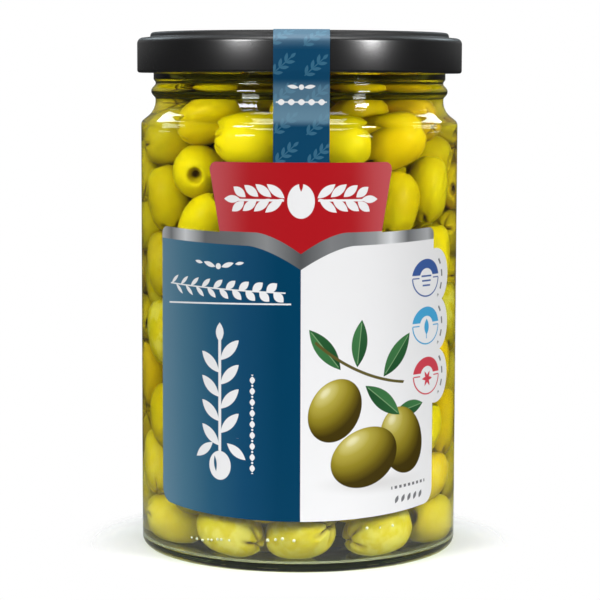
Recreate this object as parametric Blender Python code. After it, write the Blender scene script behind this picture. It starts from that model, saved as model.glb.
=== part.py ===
"""A tall clear glass jar packed with pitted green olives, shut by a twist-off cap.

Metres, +Z up. The origin is at the middle of the standing ring, and the label's
front faces -Y. A paper seal runs from the cap's top down to the label.
"""

import math

import bmesh
import bpy
import numpy as np
from mathutils import Vector

MM = 0.001
GAP = 0.3 * MM
SHEET = 0.25 * MM

# Glass jar
SIDES = 48
BODY_RADIUS = 42.0 * MM
WALL = 2.5 * MM
RING_OUTER = 39.5 * MM
RING_INNER = 36.0 * MM
HEEL = BODY_RADIUS - RING_OUTER
PUSH_UP = 1.0 * MM
FLOOR = 2.8 * MM
INNER_HEEL = 3.5 * MM
SHOULDER_START = 111.2 * MM
SHOULDER_END = 117.2 * MM
NECK_WAIST = 37.9 * MM
NECK_BEAD = 39.2 * MM
BEAD_HEIGHT = 120.8 * MM
FINISH_RADIUS = 38.7 * MM
NECK_BORE = 35.6 * MM
RIM_HEIGHT = 134.2 * MM
RIM_RADIUS = 1.2 * MM

# Twist-off cap
LID_RADIUS = 43.0 * MM
LID_BOTTOM = 126.0 * MM
LID_SHOULDER = 135.2 * MM
LID_TOP = 136.6 * MM
PANEL_RADIUS = 39.5 * MM
LID_SHEET = 0.6 * MM
LID_CORNER = 1.4 * MM
CURL = 0.75 * MM

# Paper seal
STRAP_WIDTH = 14.6 * MM
STRAP_SHIFT = 0.5 * MM
STRAP_REACH = 12.0 * MM
STRAP_COLUMNS = 6

# Label, measured round the jar from the front and up from the standing plane
LABEL_LEFT = -41.2 * MM
LABEL_RIGHT = 40.3 * MM
LABEL_AXIS = 0.5 * MM
LABEL_SIDE_TOP = 86.8 * MM
LABEL_SIDE_BOTTOM = 15.3 * MM
LABEL_BOW = 1.8 * MM
LABEL_CORNER = 4.0 * MM
BAND_CORNER = 2.0 * MM
BAND_DIP = 0.6 * MM
SHIELD_TOP = 103.8 * MM
SHIELD_HALF_TOP = 24.3 * MM
SHIELD_HALF_FOOT = 21.1 * MM
SHIELD_CORNER = 1.8 * MM
LOBE_RADIUS = 7.1 * MM
LOBE_AXIS = 41.5 * MM
LOBE_HEIGHTS = (74.2 * MM, 61.7 * MM, 48.3 * MM)

# Olives
OLIVE_RADIUS = 6.5 * MM
OLIVE_HALF = 9.0 * MM
TIP_RADIUS = 5.4 * MM
TIP_OFFSET = 3.6 * MM
OLIVE_COUNT = 232
OLIVE_SPREAD = 0.07
HEAP_RADIUS = BODY_RADIUS - WALL - GAP
HEAP_FLOOR = FLOOR + GAP
HEAP_TOP = 114.0 * MM
SETTLE_STEPS = 420
SETTLE_DROP = 0.05 * MM
LIST_EVERY = 12
LIST_REACH = 3.0 * MM
SEED = 11
PLACED_SHARE = 0.12
CORE_RADIUS = 31.5 * MM
CORE_INSET = 4.5 * MM
CORE_SIDES = 24
OLIVE_SIDES = 8
OLIVE_RINGS = 5
HEAP_FACES = 0.7
WALL_LAYER = 27.0 * MM
TOP_LAYER = 100.0 * MM

# Olives placed by hand against the wall: azimuth from the front in degrees,
# height in mm, lean of the long axis from level, and its turn out of the wall.
SHOWN = (
    (-62, 9.3, 20, -25),
    (-30.4, 9.2, 188, -32),
    (1.3, 9.0, 196, -28),
    (34.3, 9.2, 2, 5),
    (66.5, 10.5, 165, 30),
    (-50, 19.5, 120, -55),
    (-66, 24, 80, 0),
    (-72, 36, 75, 5),
    (-66, 48, 95, -5),
    (-70, 61, 85, 10),
    (-64, 74, 100, 0),
    (-58, 88, 95, 0),
    (-46, 98, 75, 62),
    (-62, 106, 10, 0),
    (-28, 105, 0, 0),
    (-40, 85, 60, 0),
    (16, 104, 180, 10),
    (36, 104.5, 28, 0),
    (57, 95, 92, 0),
    (38, 90.5, 70, 0),
    (70, 74, 85, 0),
    (68, 60, 95, 0),
    (72, 47, 80, 0),
    (67, 34, 95, 0),
    (72, 22, 60, 10),
)


def clear_scene():
    for ob in list(bpy.data.objects):
        bpy.data.objects.remove(ob, do_unlink=True)


def finish(name, colour, roughness, metallic=0.0, transmission=0.0):
    """A Principled material in one colour."""
    mat = bpy.data.materials.new(name)
    mat.use_nodes = True
    shader = mat.node_tree.nodes["Principled BSDF"]
    shader.inputs["Base Color"].default_value = (*colour, 1.0)
    shader.inputs["Roughness"].default_value = roughness
    shader.inputs["Metallic"].default_value = metallic
    shader.inputs["Transmission Weight"].default_value = transmission
    mat.diffuse_color = (*colour, 1.0)
    return mat


def place(name, mesh, mat):
    """An object of its own in the scene, smooth shaded, with one material."""
    mesh.materials.append(mat)
    mesh.shade_smooth()
    mesh.set_sharp_from_angle(angle=math.radians(35))
    ob = bpy.data.objects.new(name, mesh)
    bpy.context.scene.collection.objects.link(ob)
    return ob


def arc(centre, radius, start, end, steps):
    """Points on a circle from one angle to another, in degrees."""
    angles = [math.radians(start + (end - start) * i / steps) for i in range(steps + 1)]
    return [(centre[0] + radius * math.cos(a), centre[1] + radius * math.sin(a)) for a in angles]


def turned(name, profile, sides, mat):
    """A body of revolution. The profile is (radius, height), down its outer side."""
    mesh = bpy.data.meshes.new(name)
    points = [(radius, 0.0, height) for radius, height in profile]
    mesh.from_pydata(points, [(i, i + 1) for i in range(len(points) - 1)], [])
    ob = place(name, mesh, mat)
    screw = ob.modifiers.new("turn", "SCREW")
    screw.steps = sides
    screw.render_steps = sides
    screw.use_merge_vertices = True
    screw.merge_threshold = 0.05 * MM
    return ob


def inner_profile():
    """The jar's inside, from the middle of its floor up to the rim."""
    radius = BODY_RADIUS - WALL
    floor = [(0.0, FLOOR)]
    floor += arc((radius - INNER_HEEL, FLOOR + INNER_HEEL), INNER_HEEL, -90, 0, 4)
    shoulder = [
        (radius, SHOULDER_START - 1.5 * MM),
        (radius - 0.9 * MM, SHOULDER_START + 1.2 * MM),
        (NECK_BORE + 0.5 * MM, SHOULDER_END - 1.6 * MM),
        (NECK_BORE, SHOULDER_END + 0.2 * MM),
    ]
    return floor + shoulder + [(NECK_BORE, RIM_HEIGHT - RIM_RADIUS)]


def outer_profile():
    """The jar's outside, from the rim down to the middle of its base."""
    rim = arc((NECK_BORE + RIM_RADIUS, RIM_HEIGHT - RIM_RADIUS), RIM_RADIUS, 150, 90, 2)
    rim += arc((FINISH_RADIUS - RIM_RADIUS, RIM_HEIGHT - RIM_RADIUS), RIM_RADIUS, 90, 0, 3)
    neck = [
        (FINISH_RADIUS, BEAD_HEIGHT + 3.6 * MM),
        (NECK_WAIST, BEAD_HEIGHT + 2.3 * MM),
        (NECK_BEAD, BEAD_HEIGHT + 0.8 * MM),
        (NECK_BEAD, BEAD_HEIGHT - 0.6 * MM),
        (NECK_WAIST + 0.3 * MM, BEAD_HEIGHT - 1.9 * MM),
        (NECK_WAIST, SHOULDER_END + 0.2 * MM),
        (NECK_WAIST + 0.5 * MM, SHOULDER_END - 1.4 * MM),
        (BODY_RADIUS - 2.2 * MM, SHOULDER_END - 2.6 * MM),
        (BODY_RADIUS - 0.5 * MM, SHOULDER_START + 1.7 * MM),
        (BODY_RADIUS, SHOULDER_START),
    ]
    heel = arc((BODY_RADIUS - HEEL, HEEL), HEEL, 0, -90, 4)
    base = [(RING_INNER, 0.0), (RING_INNER - 1.5 * MM, PUSH_UP), (0.0, PUSH_UP)]
    return rim + neck + heel + base


def build_jar():
    glass = finish("clear_glass", (0.80, 0.86, 0.82), 0.03, transmission=1.0)
    return turned("glass_jar", inner_profile() + outer_profile(), SIDES, glass)


def build_lid():
    """The cap: a raised panel, a shoulder ring, a skirt and a curled lower edge."""
    step = PANEL_RADIUS
    inner = LID_RADIUS - LID_SHEET
    underside = [
        (0.0, LID_TOP - LID_SHEET),
        (step - LID_SHEET - 0.6 * MM, LID_TOP - LID_SHEET),
        (step - LID_SHEET, LID_SHOULDER - LID_SHEET),
    ]
    underside += arc((inner - 0.8 * MM, LID_SHOULDER - LID_SHEET - 0.8 * MM), 0.8 * MM, 90, 0, 2)
    underside += [
        (inner, LID_BOTTOM + 2.4 * CURL),
        (inner - CURL, LID_BOTTOM + 1.6 * CURL),
        (inner - CURL, LID_BOTTOM + 0.5 * CURL),
        (inner - 0.4 * CURL, LID_BOTTOM),
    ]
    curl = arc((LID_RADIUS - CURL, LID_BOTTOM + CURL), CURL, -90, 0, 2)
    corner = arc((LID_RADIUS - LID_CORNER, LID_SHOULDER - LID_CORNER), LID_CORNER, 0, 90, 4)
    panel = [
        (step + 0.35 * MM, LID_SHOULDER),
        (step, LID_SHOULDER + 0.35 * MM),
        (step - 0.2 * MM, LID_TOP - 0.45 * MM),
        (step - 0.75 * MM, LID_TOP),
        (0.0, LID_TOP),
    ]
    black = finish("black_cap", (0.012, 0.012, 0.013), 0.38)
    outline = list(reversed(underside + curl + corner + panel))
    return turned("lid", outline, SIDES, black)


def strap_path():
    """The inner face of the seal from the middle of the cap down to the label."""
    over = LID_TOP + GAP
    skirt = LID_RADIUS + GAP
    body = BODY_RADIUS + GAP
    path = [(STRAP_REACH, over), (0.5 * (STRAP_REACH + PANEL_RADIUS), over)]
    path += [(PANEL_RADIUS - 0.7 * MM, over)]
    path += arc((LID_RADIUS - LID_CORNER, LID_SHOULDER - LID_CORNER), LID_CORNER + GAP, 65, 0, 3)
    path += [
        (skirt, LID_BOTTOM + 0.2 * MM),
        (skirt - 0.9 * MM, LID_BOTTOM - 4.5 * MM),
        (body - 0.1 * MM, SHOULDER_END - 1.0 * MM),
        (body, SHOULDER_START),
        (body, SHIELD_TOP + GAP),
    ]
    return path


def build_strap():
    mesh = bpy.data.meshes.new("seal_strap")
    bm = bmesh.new()
    rows = []
    for radius, height in strap_path():
        bend = min(max((radius - 0.85 * LID_RADIUS) / (0.1 * LID_RADIUS), 0.0), 1.0)
        row = []
        for j in range(STRAP_COLUMNS + 1):
            x = STRAP_WIDTH * (j / STRAP_COLUMNS - 0.5) + STRAP_SHIFT
            sag = LID_RADIUS - math.sqrt(LID_RADIUS**2 - x**2)
            row.append(bm.verts.new((x, -(radius - bend * sag), height)))
        rows.append(row)
    for upper, lower in zip(rows, rows[1:]):
        for j in range(STRAP_COLUMNS):
            bm.faces.new((upper[j], lower[j], lower[j + 1], upper[j + 1]))
    bm.to_mesh(mesh)
    bm.free()
    ob = place("seal_strap", mesh, finish("blue_paper", (0.01, 0.07, 0.16), 0.45))
    thicken(ob)
    return ob


def thicken(ob):
    """Gives a sheet its thickness on its outer side."""
    solid = ob.modifiers.new("thickness", "SOLIDIFY")
    solid.thickness = SHEET
    solid.offset = 1.0
    solid.use_even_offset = True


def circle_crossings(index):
    """Where a lobe's circle leaves the label's side or its neighbour, in degrees."""
    top, bottom = 90.0, -90.0
    side = math.degrees(math.acos((LABEL_RIGHT - LOBE_AXIS) / LOBE_RADIUS))
    if index > 0:
        half = 0.5 * (LOBE_HEIGHTS[index - 1] - LOBE_HEIGHTS[index])
        top = math.degrees(math.asin(half / LOBE_RADIUS))
    else:
        top = side
    if index < len(LOBE_HEIGHTS) - 1:
        half = 0.5 * (LOBE_HEIGHTS[index] - LOBE_HEIGHTS[index + 1])
        bottom = -math.degrees(math.asin(half / LOBE_RADIUS))
    else:
        bottom = -side
    return bottom, top


def label_outline():
    """The die-cut edge, anticlockwise as seen from the front, from its lower left."""
    left, right, low, high = LABEL_LEFT, LABEL_RIGHT, LABEL_SIDE_BOTTOM, LABEL_SIDE_TOP
    c = LABEL_CORNER
    points = arc((left + c, low + c), c, 180, 270, 4)
    middle, half = 0.5 * (left + right), 0.5 * (right - left) - c
    for i in range(1, 16):
        t = i / 8 - 1
        points.append((middle + half * t, low - LABEL_BOW * (1 - t * t)))
    points += arc((right - c, low + c), c, 270, 360, 4)
    for i in reversed(range(len(LOBE_HEIGHTS))):
        bottom, top = circle_crossings(i)
        points += arc((LOBE_AXIS, LOBE_HEIGHTS[i]), LOBE_RADIUS, bottom, top, 9)
    b = BAND_CORNER
    points += arc((right - b, high - b), b, 0, 90, 3)
    foot = SHIELD_HALF_FOOT
    points.append((LABEL_AXIS + foot, high - BAND_DIP))
    s = SHIELD_CORNER
    top_centre = SHIELD_HALF_TOP - s - 0.3 * MM
    points += arc((LABEL_AXIS + top_centre, SHIELD_TOP - s), s, -8, 90, 4)
    points += arc((LABEL_AXIS - top_centre, SHIELD_TOP - s), s, 90, 188, 4)
    points.append((LABEL_AXIS - foot, high - BAND_DIP))
    points += arc((left + b, high - b), b, 90, 180, 3)
    return points


def wrap(place_at):
    """Lays a point of the flat sheet on the jar, whose sides are flat between its corners."""
    step = 2 * math.pi / SIDES
    turn = place_at.x / BODY_RADIUS / step
    first = math.floor(turn)
    corners = [Vector((math.sin(k * step), -math.cos(k * step))) for k in (first, first + 1)]
    flat = (BODY_RADIUS + GAP - place_at.y) * corners[0].lerp(corners[1], turn - first)
    return Vector((flat.x, flat.y, place_at.z))


def build_label():
    mesh = bpy.data.meshes.new("front_label")
    bm = bmesh.new()
    bm.faces.new([bm.verts.new((s, 0.0, z)) for s, z in label_outline()])
    facet = 2 * math.pi / SIDES * BODY_RADIUS
    reach = math.ceil(LABEL_RIGHT / facet) + 2
    for k in range(-reach, reach + 1):
        everything = bm.verts[:] + bm.edges[:] + bm.faces[:]
        bmesh.ops.bisect_plane(bm, geom=everything, plane_co=(k * facet, 0, 0), plane_no=(1, 0, 0), dist=1e-7)
    bmesh.ops.reverse_faces(bm, faces=bm.faces[:])
    face_side = bmesh.ops.extrude_face_region(bm, geom=bm.faces[:])["geom"]
    front = [item for item in face_side if isinstance(item, bmesh.types.BMVert)]
    bmesh.ops.translate(bm, verts=front, vec=(0, -SHEET, 0))
    bmesh.ops.recalc_face_normals(bm, faces=bm.faces[:])
    for vert in bm.verts:
        vert.co = wrap(vert.co)
    bm.to_mesh(mesh)
    bm.free()
    return place("front_label", mesh, finish("printed_label", (0.02, 0.12, 0.22), 0.4))


def against_wall(azimuth, height, lean, turn, size):
    """Centre and long axis of an olive that touches the wall."""
    a, b, c = (math.radians(v) for v in (azimuth, lean, turn))
    side = np.array((math.cos(a), math.sin(a), 0.0))
    outward = np.array((math.sin(a), -math.cos(a), 0.0))
    along = math.cos(b) * side + np.array((0.0, 0.0, math.sin(b)))
    depth = math.hypot(OLIVE_RADIUS * math.cos(c), OLIVE_HALF * math.sin(c))
    centre = outward * (HEAP_RADIUS - depth * size) + np.array((0.0, 0.0, height * MM))
    return centre, math.cos(c) * along + math.sin(c) * outward


def scattered_olives():
    """Centres, axes, sizes and shares of movement before the olives settle."""
    rng = np.random.default_rng(SEED)
    n = OLIVE_COUNT
    radius = (HEAP_RADIUS - OLIVE_RADIUS) * np.sqrt(rng.random(n))
    angle = rng.random(n) * 2 * math.pi
    low, high = HEAP_FLOOR + OLIVE_RADIUS, HEAP_TOP - OLIVE_RADIUS
    height = low + (high - low) * rng.random(n)
    centre = np.stack([radius * np.cos(angle), radius * np.sin(angle), height], axis=1)
    axis = rng.normal(size=(n, 3))
    axis /= np.linalg.norm(axis, axis=1)[:, None]
    size = rng.uniform(1 - OLIVE_SPREAD, 1 + OLIVE_SPREAD, n)
    share = np.ones(n)
    for i, row in enumerate(SHOWN):
        centre[i], axis[i] = against_wall(*row, size[i])
        share[i] = PLACED_SHARE
    return centre, axis, size, share


def near_pairs(balls, radii, owner):
    """Pairs of balls from different olives that lie close together."""
    square = (balls**2).sum(1)
    far = square[:, None] + square[None, :] - 2 * balls @ balls.T
    near = far < (radii[:, None] + radii[None, :] + LIST_REACH) ** 2
    return np.nonzero(near & (owner[:, None] < owner[None, :]))


def settled_olives():
    """Each olive is three balls in a row. They sink, and push each other apart."""
    centre, axis, size, share = scattered_olives()
    n = OLIVE_COUNT
    radii = np.concatenate([TIP_RADIUS * size, OLIVE_RADIUS * size, TIP_RADIUS * size])
    offset = np.concatenate([-TIP_OFFSET * size, 0 * size, TIP_OFFSET * size])
    owner = np.tile(np.arange(n), 3)
    weight = share[owner]
    for step in range(SETTLE_STEPS):
        balls = centre[owner] + offset[:, None] * axis[owner]
        if step % LIST_EVERY == 0:
            one, two = near_pairs(balls, radii, owner)
            both = np.concatenate([one, two])
            split = (weight[one] / (weight[one] + weight[two]))[:, None]
        apart = balls[one] - balls[two]
        far = np.linalg.norm(apart, axis=1) + 1e-12
        over = np.maximum(radii[one] + radii[two] - far, 0)
        shove = apart * (over / far)[:, None]
        shoves = np.concatenate([shove * split, shove * (split - 1)])
        hits = np.bincount(both, np.tile(over > 0, 2), len(balls))
        push = np.stack([np.bincount(both, shoves[:, k], len(balls)) for k in range(3)], axis=1)
        push *= (0.9 / np.sqrt(np.maximum(hits, 1)))[:, None]
        push[:, 2] -= SETTLE_DROP * weight * max(0.0, 1 - step / (0.75 * SETTLE_STEPS))
        reach = np.hypot(balls[:, 0], balls[:, 1]) + 1e-12
        beyond = np.maximum(reach - (HEAP_RADIUS - radii), 0)
        push[:, :2] -= balls[:, :2] * (beyond / reach)[:, None]
        push[:, 2] += np.maximum(HEAP_FLOOR + radii - balls[:, 2], 0)
        push[:, 2] -= np.maximum(balls[:, 2] - (HEAP_TOP - radii), 0)
        low, middle, high = push.reshape(3, n, 3)
        centre = centre + (low + middle + high) / 2
        axis = axis + (high - low) * 0.4 / TIP_OFFSET
        axis /= np.linalg.norm(axis, axis=1)[:, None]
    return centre, axis, size


def olive_mesh(centre, axis, size):
    """A few-sided fruit, a little narrower at its far end, kept off the glass."""
    bm = bmesh.new()
    bmesh.ops.create_uvsphere(bm, u_segments=OLIVE_SIDES, v_segments=OLIVE_RINGS, radius=1.0)
    turn = Vector(axis).to_track_quat("Z", "Y")
    for vert in bm.verts:
        across = OLIVE_RADIUS * size * (1 - 0.06 * vert.co.z)
        local = Vector((vert.co.x * across, vert.co.y * across, vert.co.z * OLIVE_HALF * size))
        place_at = Vector(centre) + turn @ local
        reach = math.hypot(place_at.x, place_at.y)
        if reach > HEAP_RADIUS:
            place_at.x *= HEAP_RADIUS / reach
            place_at.y *= HEAP_RADIUS / reach
        place_at.z = max(place_at.z, HEAP_FLOOR)
        vert.co = place_at
    mesh = bpy.data.meshes.new("olive")
    bm.to_mesh(mesh)
    bm.free()
    return mesh


def core_mesh():
    """What the olives are fused to: a drum a little smaller than the heap."""
    bm = bmesh.new()
    low, high = HEAP_FLOOR + CORE_INSET, HEAP_TOP - 2 * CORE_INSET
    bmesh.ops.create_cone(
        bm,
        cap_ends=True,
        segments=CORE_SIDES,
        radius1=CORE_RADIUS,
        radius2=CORE_RADIUS,
        depth=high - low,
    )
    bmesh.ops.translate(bm, verts=bm.verts[:], vec=(0, 0, 0.5 * (low + high)))
    mesh = bpy.data.meshes.new("olives")
    bm.to_mesh(mesh)
    bm.free()
    return mesh


def outer_skin(mesh):
    """Keeps the largest closed skin, so that sealed hollows fill and scraps go."""
    bm = bmesh.new()
    bm.from_mesh(mesh)
    bm.faces.ensure_lookup_table()
    unseen = set(bm.faces)
    largest = set()
    while unseen:
        group, todo = set(), [unseen.pop()]
        while todo:
            face = todo.pop()
            group.add(face)
            for edge in face.edges:
                for other in edge.link_faces:
                    if other in unseen:
                        unseen.remove(other)
                        todo.append(other)
        if len(group) > len(largest):
            largest = group
    stray = [face for face in bm.faces if face not in largest]
    bmesh.ops.delete(bm, geom=stray, context="FACES")
    bm.to_mesh(mesh)
    bm.free()


def build_olives():
    """One heap: the olives at the wall and on top, fused to the core."""
    flesh = finish("olive_flesh", (0.62, 0.55, 0.03), 0.35)
    heap = place("olives", core_mesh(), flesh)
    fruit = bpy.data.collections.new("fruit")
    bpy.context.scene.collection.children.link(fruit)
    for centre, axis, size in zip(*settled_olives()):
        if math.hypot(centre[0], centre[1]) > WALL_LAYER or centre[2] > TOP_LAYER:
            fruit.objects.link(bpy.data.objects.new("olive", olive_mesh(centre, axis, size)))
    union = heap.modifiers.new("fuse", "BOOLEAN")
    union.operation = "UNION"
    union.operand_type = "COLLECTION"
    union.collection = fruit
    union.solver = "MANIFOLD"
    graph = bpy.context.evaluated_depsgraph_get()
    fused = bpy.data.meshes.new_from_object(heap.evaluated_get(graph))
    heap.modifiers.remove(union)
    heap.data = fused
    fused.name = "olives"
    for ob in list(fruit.objects):
        bpy.data.objects.remove(ob, do_unlink=True)
    bpy.data.collections.remove(fruit)
    outer_skin(fused)
    fewer = heap.modifiers.new("fewer_faces", "DECIMATE")
    fewer.ratio = HEAP_FACES
    return heap


def main():
    clear_scene()
    build_jar()
    build_lid()
    build_strap()
    build_label()
    build_olives()


main()
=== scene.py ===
# %% [markdown]
# # A jar of pitted olives
#
# The real thing is a tall clear glass jar, packed with green olives in brine and
# shut by a black twist-off cap. A paper seal runs from the cap down to a wrap label.
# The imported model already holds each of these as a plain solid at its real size.
# This script dresses them: it swaps the faceted solids for smooth pieces, fills the
# jar with whole olives and liquid, and gives every surface its own finish.

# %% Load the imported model
import math

import bmesh
import bpy
import numpy as np
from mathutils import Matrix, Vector


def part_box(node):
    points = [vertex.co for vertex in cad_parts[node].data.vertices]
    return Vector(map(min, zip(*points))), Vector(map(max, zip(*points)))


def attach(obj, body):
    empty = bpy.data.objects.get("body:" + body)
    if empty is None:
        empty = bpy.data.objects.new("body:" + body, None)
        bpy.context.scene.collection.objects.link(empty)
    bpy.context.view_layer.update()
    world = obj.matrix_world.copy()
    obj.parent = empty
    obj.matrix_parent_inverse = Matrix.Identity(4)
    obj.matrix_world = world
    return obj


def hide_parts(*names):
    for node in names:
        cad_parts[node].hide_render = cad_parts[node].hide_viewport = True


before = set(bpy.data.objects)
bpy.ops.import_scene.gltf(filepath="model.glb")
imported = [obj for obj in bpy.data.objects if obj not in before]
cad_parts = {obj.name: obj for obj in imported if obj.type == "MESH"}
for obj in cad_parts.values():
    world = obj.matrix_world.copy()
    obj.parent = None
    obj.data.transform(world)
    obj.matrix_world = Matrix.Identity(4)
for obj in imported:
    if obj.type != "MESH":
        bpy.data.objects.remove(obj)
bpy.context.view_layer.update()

MM = 0.001
print("nodes:", ", ".join(sorted(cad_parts)))

# %% [markdown]
# ## Sizes
#
# Everything is placed from a few sizes that the model itself gives, the jar's radius and rim and the
# cap's radius and edges, and from sizes set below. Wall and sheet thicknesses are real ones for pressed
# glass and printed paper.

# %% Read the main sizes
_, jar_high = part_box("glass_jar")
lid_low, lid_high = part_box("lid")
BODY_RADIUS = jar_high.x
RIM_HEIGHT = jar_high.z
WALL = 2.5 * MM
LID_RADIUS = lid_high.x
LID_BOTTOM = lid_low.z
LID_TOP = lid_high.z
PAPER_GAP = 0.3 * MM
print(f"jar radius {BODY_RADIUS / MM:.1f} mm, rim at {RIM_HEIGHT / MM:.1f} mm")
print(f"cap radius {LID_RADIUS / MM:.1f} mm, from {LID_BOTTOM / MM:.1f} mm to {LID_TOP / MM:.1f} mm")

# %% [markdown]
# ## Camera
#
# The picture was taken from about 0.6 m away, level with the cap's lower edge, so the
# cap's edge is a straight line and the base is an arc. The camera looks down a little
# to hold the whole jar. From there a long lens makes the jar fill the frame.

# %% Set up the camera
CAMERA_PLACE = (0.14 * MM, -589.4 * MM, 123.8 * MM)
CAMERA_LENS = 132.4
LOOK_DOWN = math.radians(5.654)
CAMERA_ROLL = math.radians(0.176)

camera_data = bpy.data.cameras.new("camera")
camera_data.lens = CAMERA_LENS
camera_data.sensor_width = 36.0
camera = bpy.data.objects.new("camera", camera_data)
camera.location = CAMERA_PLACE
camera.rotation_mode = "XYZ"
camera.rotation_euler = (math.pi / 2 - LOOK_DOWN, -CAMERA_ROLL, 0.0)
bpy.context.scene.collection.objects.link(camera)
bpy.context.scene.camera = camera
print(f"lens {CAMERA_LENS} mm, looking down {math.degrees(LOOK_DOWN):.1f} degrees")

# %% [markdown]
# ## Wiring helpers
#
# Node trees are easier to read as sums. `Wire` wraps an output socket, so that
# `1 - mask * 0.5` adds the Math nodes that it needs. Every other node comes from
# `Board.node`, which takes a type, its settings, and a value or a wire for each socket.


# %% Wires and boards
class Wire:
    """An output socket that Python's operators turn into Math nodes."""

    def __init__(self, board, socket):
        self.board = board
        self.socket = socket

    def maths(self, operation, *others, **settings):
        values = dict(enumerate((self, *others)))
        return self.board.node("ShaderNodeMath", {"operation": operation, **settings}, values)

    def __add__(self, other):
        return self.maths("ADD", other)

    __radd__ = __add__

    def __mul__(self, other):
        return self.maths("MULTIPLY", other)

    __rmul__ = __mul__

    def __sub__(self, other):
        return self.maths("SUBTRACT", other)

    def __rsub__(self, other):
        return self.board.node("ShaderNodeMath", {"operation": "SUBTRACT"}, {0: other, 1: self})

    def __truediv__(self, other):
        return self.maths("DIVIDE", other)

    def __rtruediv__(self, other):
        return self.board.node("ShaderNodeMath", {"operation": "DIVIDE"}, {0: other, 1: self})

    def __pow__(self, other):
        return self.maths("POWER", other)

    def __neg__(self):
        return self.maths("MULTIPLY", -1.0)

    def __abs__(self):
        return self.maths("ABSOLUTE")

    def most(self, other):
        return self.maths("MAXIMUM", other)

    def least(self, other):
        return self.maths("MINIMUM", other)

    def other(self, name):
        """Another output of the same node."""
        return Wire(self.board, self.socket.node.outputs[name])

    def within(self, low, high):
        """0 at low and below, 1 at high and above, smooth between."""
        settings = {"interpolation_type": "SMOOTHSTEP"}
        return self.board.node("ShaderNodeMapRange", settings, {0: self, 1: low, 2: high})


class Board:
    """A node tree that is being wired up."""

    def __init__(self, tree):
        self.tree = tree

    def node(self, kind, settings=None, values=None, output=0):
        """Adds a node: its settings first, then a value or a wire for each socket."""
        made = self.tree.nodes.new(kind)
        for name, value in (settings or {}).items():
            if name == "stops":
                self.fill_ramp(made.color_ramp, value)
            else:
                setattr(made, name, value)
        for key, value in (values or {}).items():
            if isinstance(value, Wire):
                self.tree.links.new(value.socket, made.inputs[key])
            else:
                made.inputs[key].default_value = value
        return Wire(self, made.outputs[output])

    def fill_ramp(self, ramp, stops):
        while len(ramp.elements) < len(stops):
            ramp.elements.new(1.0)
        for element, (position, colour) in zip(ramp.elements, stops):
            element.position = position
            element.color = rgba(colour)

    def mix(self, share, first, second):
        """A colour between two colours."""
        values = {0: share, 6: colour_value(first), 7: colour_value(second)}
        return self.node("ShaderNodeMix", {"data_type": "RGBA"}, values, output=2)

    def axes(self, vector):
        """The three parts of a vector."""
        first = self.node("ShaderNodeSeparateXYZ", None, {0: vector})
        return [first.other(axis) for axis in "XYZ"]

    def place(self):
        """Where a point lies on its object, in metres."""
        return self.node("ShaderNodeTexCoord", output="Object")

    def noise(self, place, scale, detail=2.0):
        return self.node("ShaderNodeTexNoise", None, {"Vector": place, "Scale": scale, "Detail": detail})

    def bump(self, height, strength, distance):
        values = {"Strength": strength, "Distance": distance, "Height": height}
        return self.node("ShaderNodeBump", None, values)


def rgba(colour):
    return (*colour[:3], 1.0)


def colour_value(colour):
    return colour if isinstance(colour, Wire) else rgba(colour)


def screen(red, green, blue):
    """A colour picked on a screen, 0 to 255, as the renderer counts light."""
    parts = [value / 255 for value in (red, green, blue)]
    return tuple(c / 12.92 if c <= 0.04045 else ((c + 0.055) / 1.055) ** 2.4 for c in parts)


def report(name, tree):
    print(f"{name}: {len(tree.nodes)} nodes")


print("middle grey on a screen is", round(screen(128, 128, 128)[0], 3), "of white's light")


# %% Start and end of a finish
def new_finish(name):
    """A material and the board of its emptied node tree."""
    mat = bpy.data.materials.new(name)
    mat.use_nodes = True
    mat.node_tree.nodes.clear()
    return mat, Board(mat.node_tree)


def surface(board, shader, volume=None):
    """Ends a material in its output."""
    end = board.tree.nodes.new("ShaderNodeOutputMaterial")
    board.tree.links.new(shader.socket, end.inputs["Surface"])
    if volume is not None:
        board.tree.links.new(volume.socket, end.inputs["Volume"])


def opaque(mat, board, values):
    """Ends a material in one Principled shader, and returns the material."""
    surface(board, board.node("ShaderNodeBsdfPrincipled", None, values))
    report(mat.name, mat.node_tree)
    return mat


# %% [markdown]
# ## Studio
#
# Packs are photographed on white with big soft lamps, because glass and lacquer show
# whatever surrounds them. Two softboxes stand in front, left and right of the camera,
# a wide one hangs above, and two cooler ones behind the jar light its back and the
# glass's edges. The world is white for the camera alone. For all else it is nearly
# dark, with a faint glow behind the jar, so that the glass keeps its dark edges. The
# pale floor throws light up into the base and fades out a little way from the jar. In
# mirrored rays it is darker, or a white haze would lie low on the glass's sides.


# %% Put up the lamps
PLAIN_WHITE = (1.0, 1.0, 1.0)
COOL_WHITE = (0.78, 0.92, 1.0)
LAMP_DISTANCE = 0.9
# Name, azimuth and elevation in degrees, width and height in metres, watts and tint
SOFTBOXES = (
    ("left softbox", -41, 21, (0.22, 0.23), 4.0, PLAIN_WHITE),
    ("right softbox", 50, 18, (0.15, 0.24), 4.1, PLAIN_WHITE),
    ("top softbox", 0, 75, (0.8, 0.5), 6.8, PLAIN_WHITE),
    ("left rear softbox", -142, 36, (0.3, 0.3), 1.5, COOL_WHITE),
    ("right rear softbox", 142, 36, (0.3, 0.3), 1.5, COOL_WHITE),
)


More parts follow.
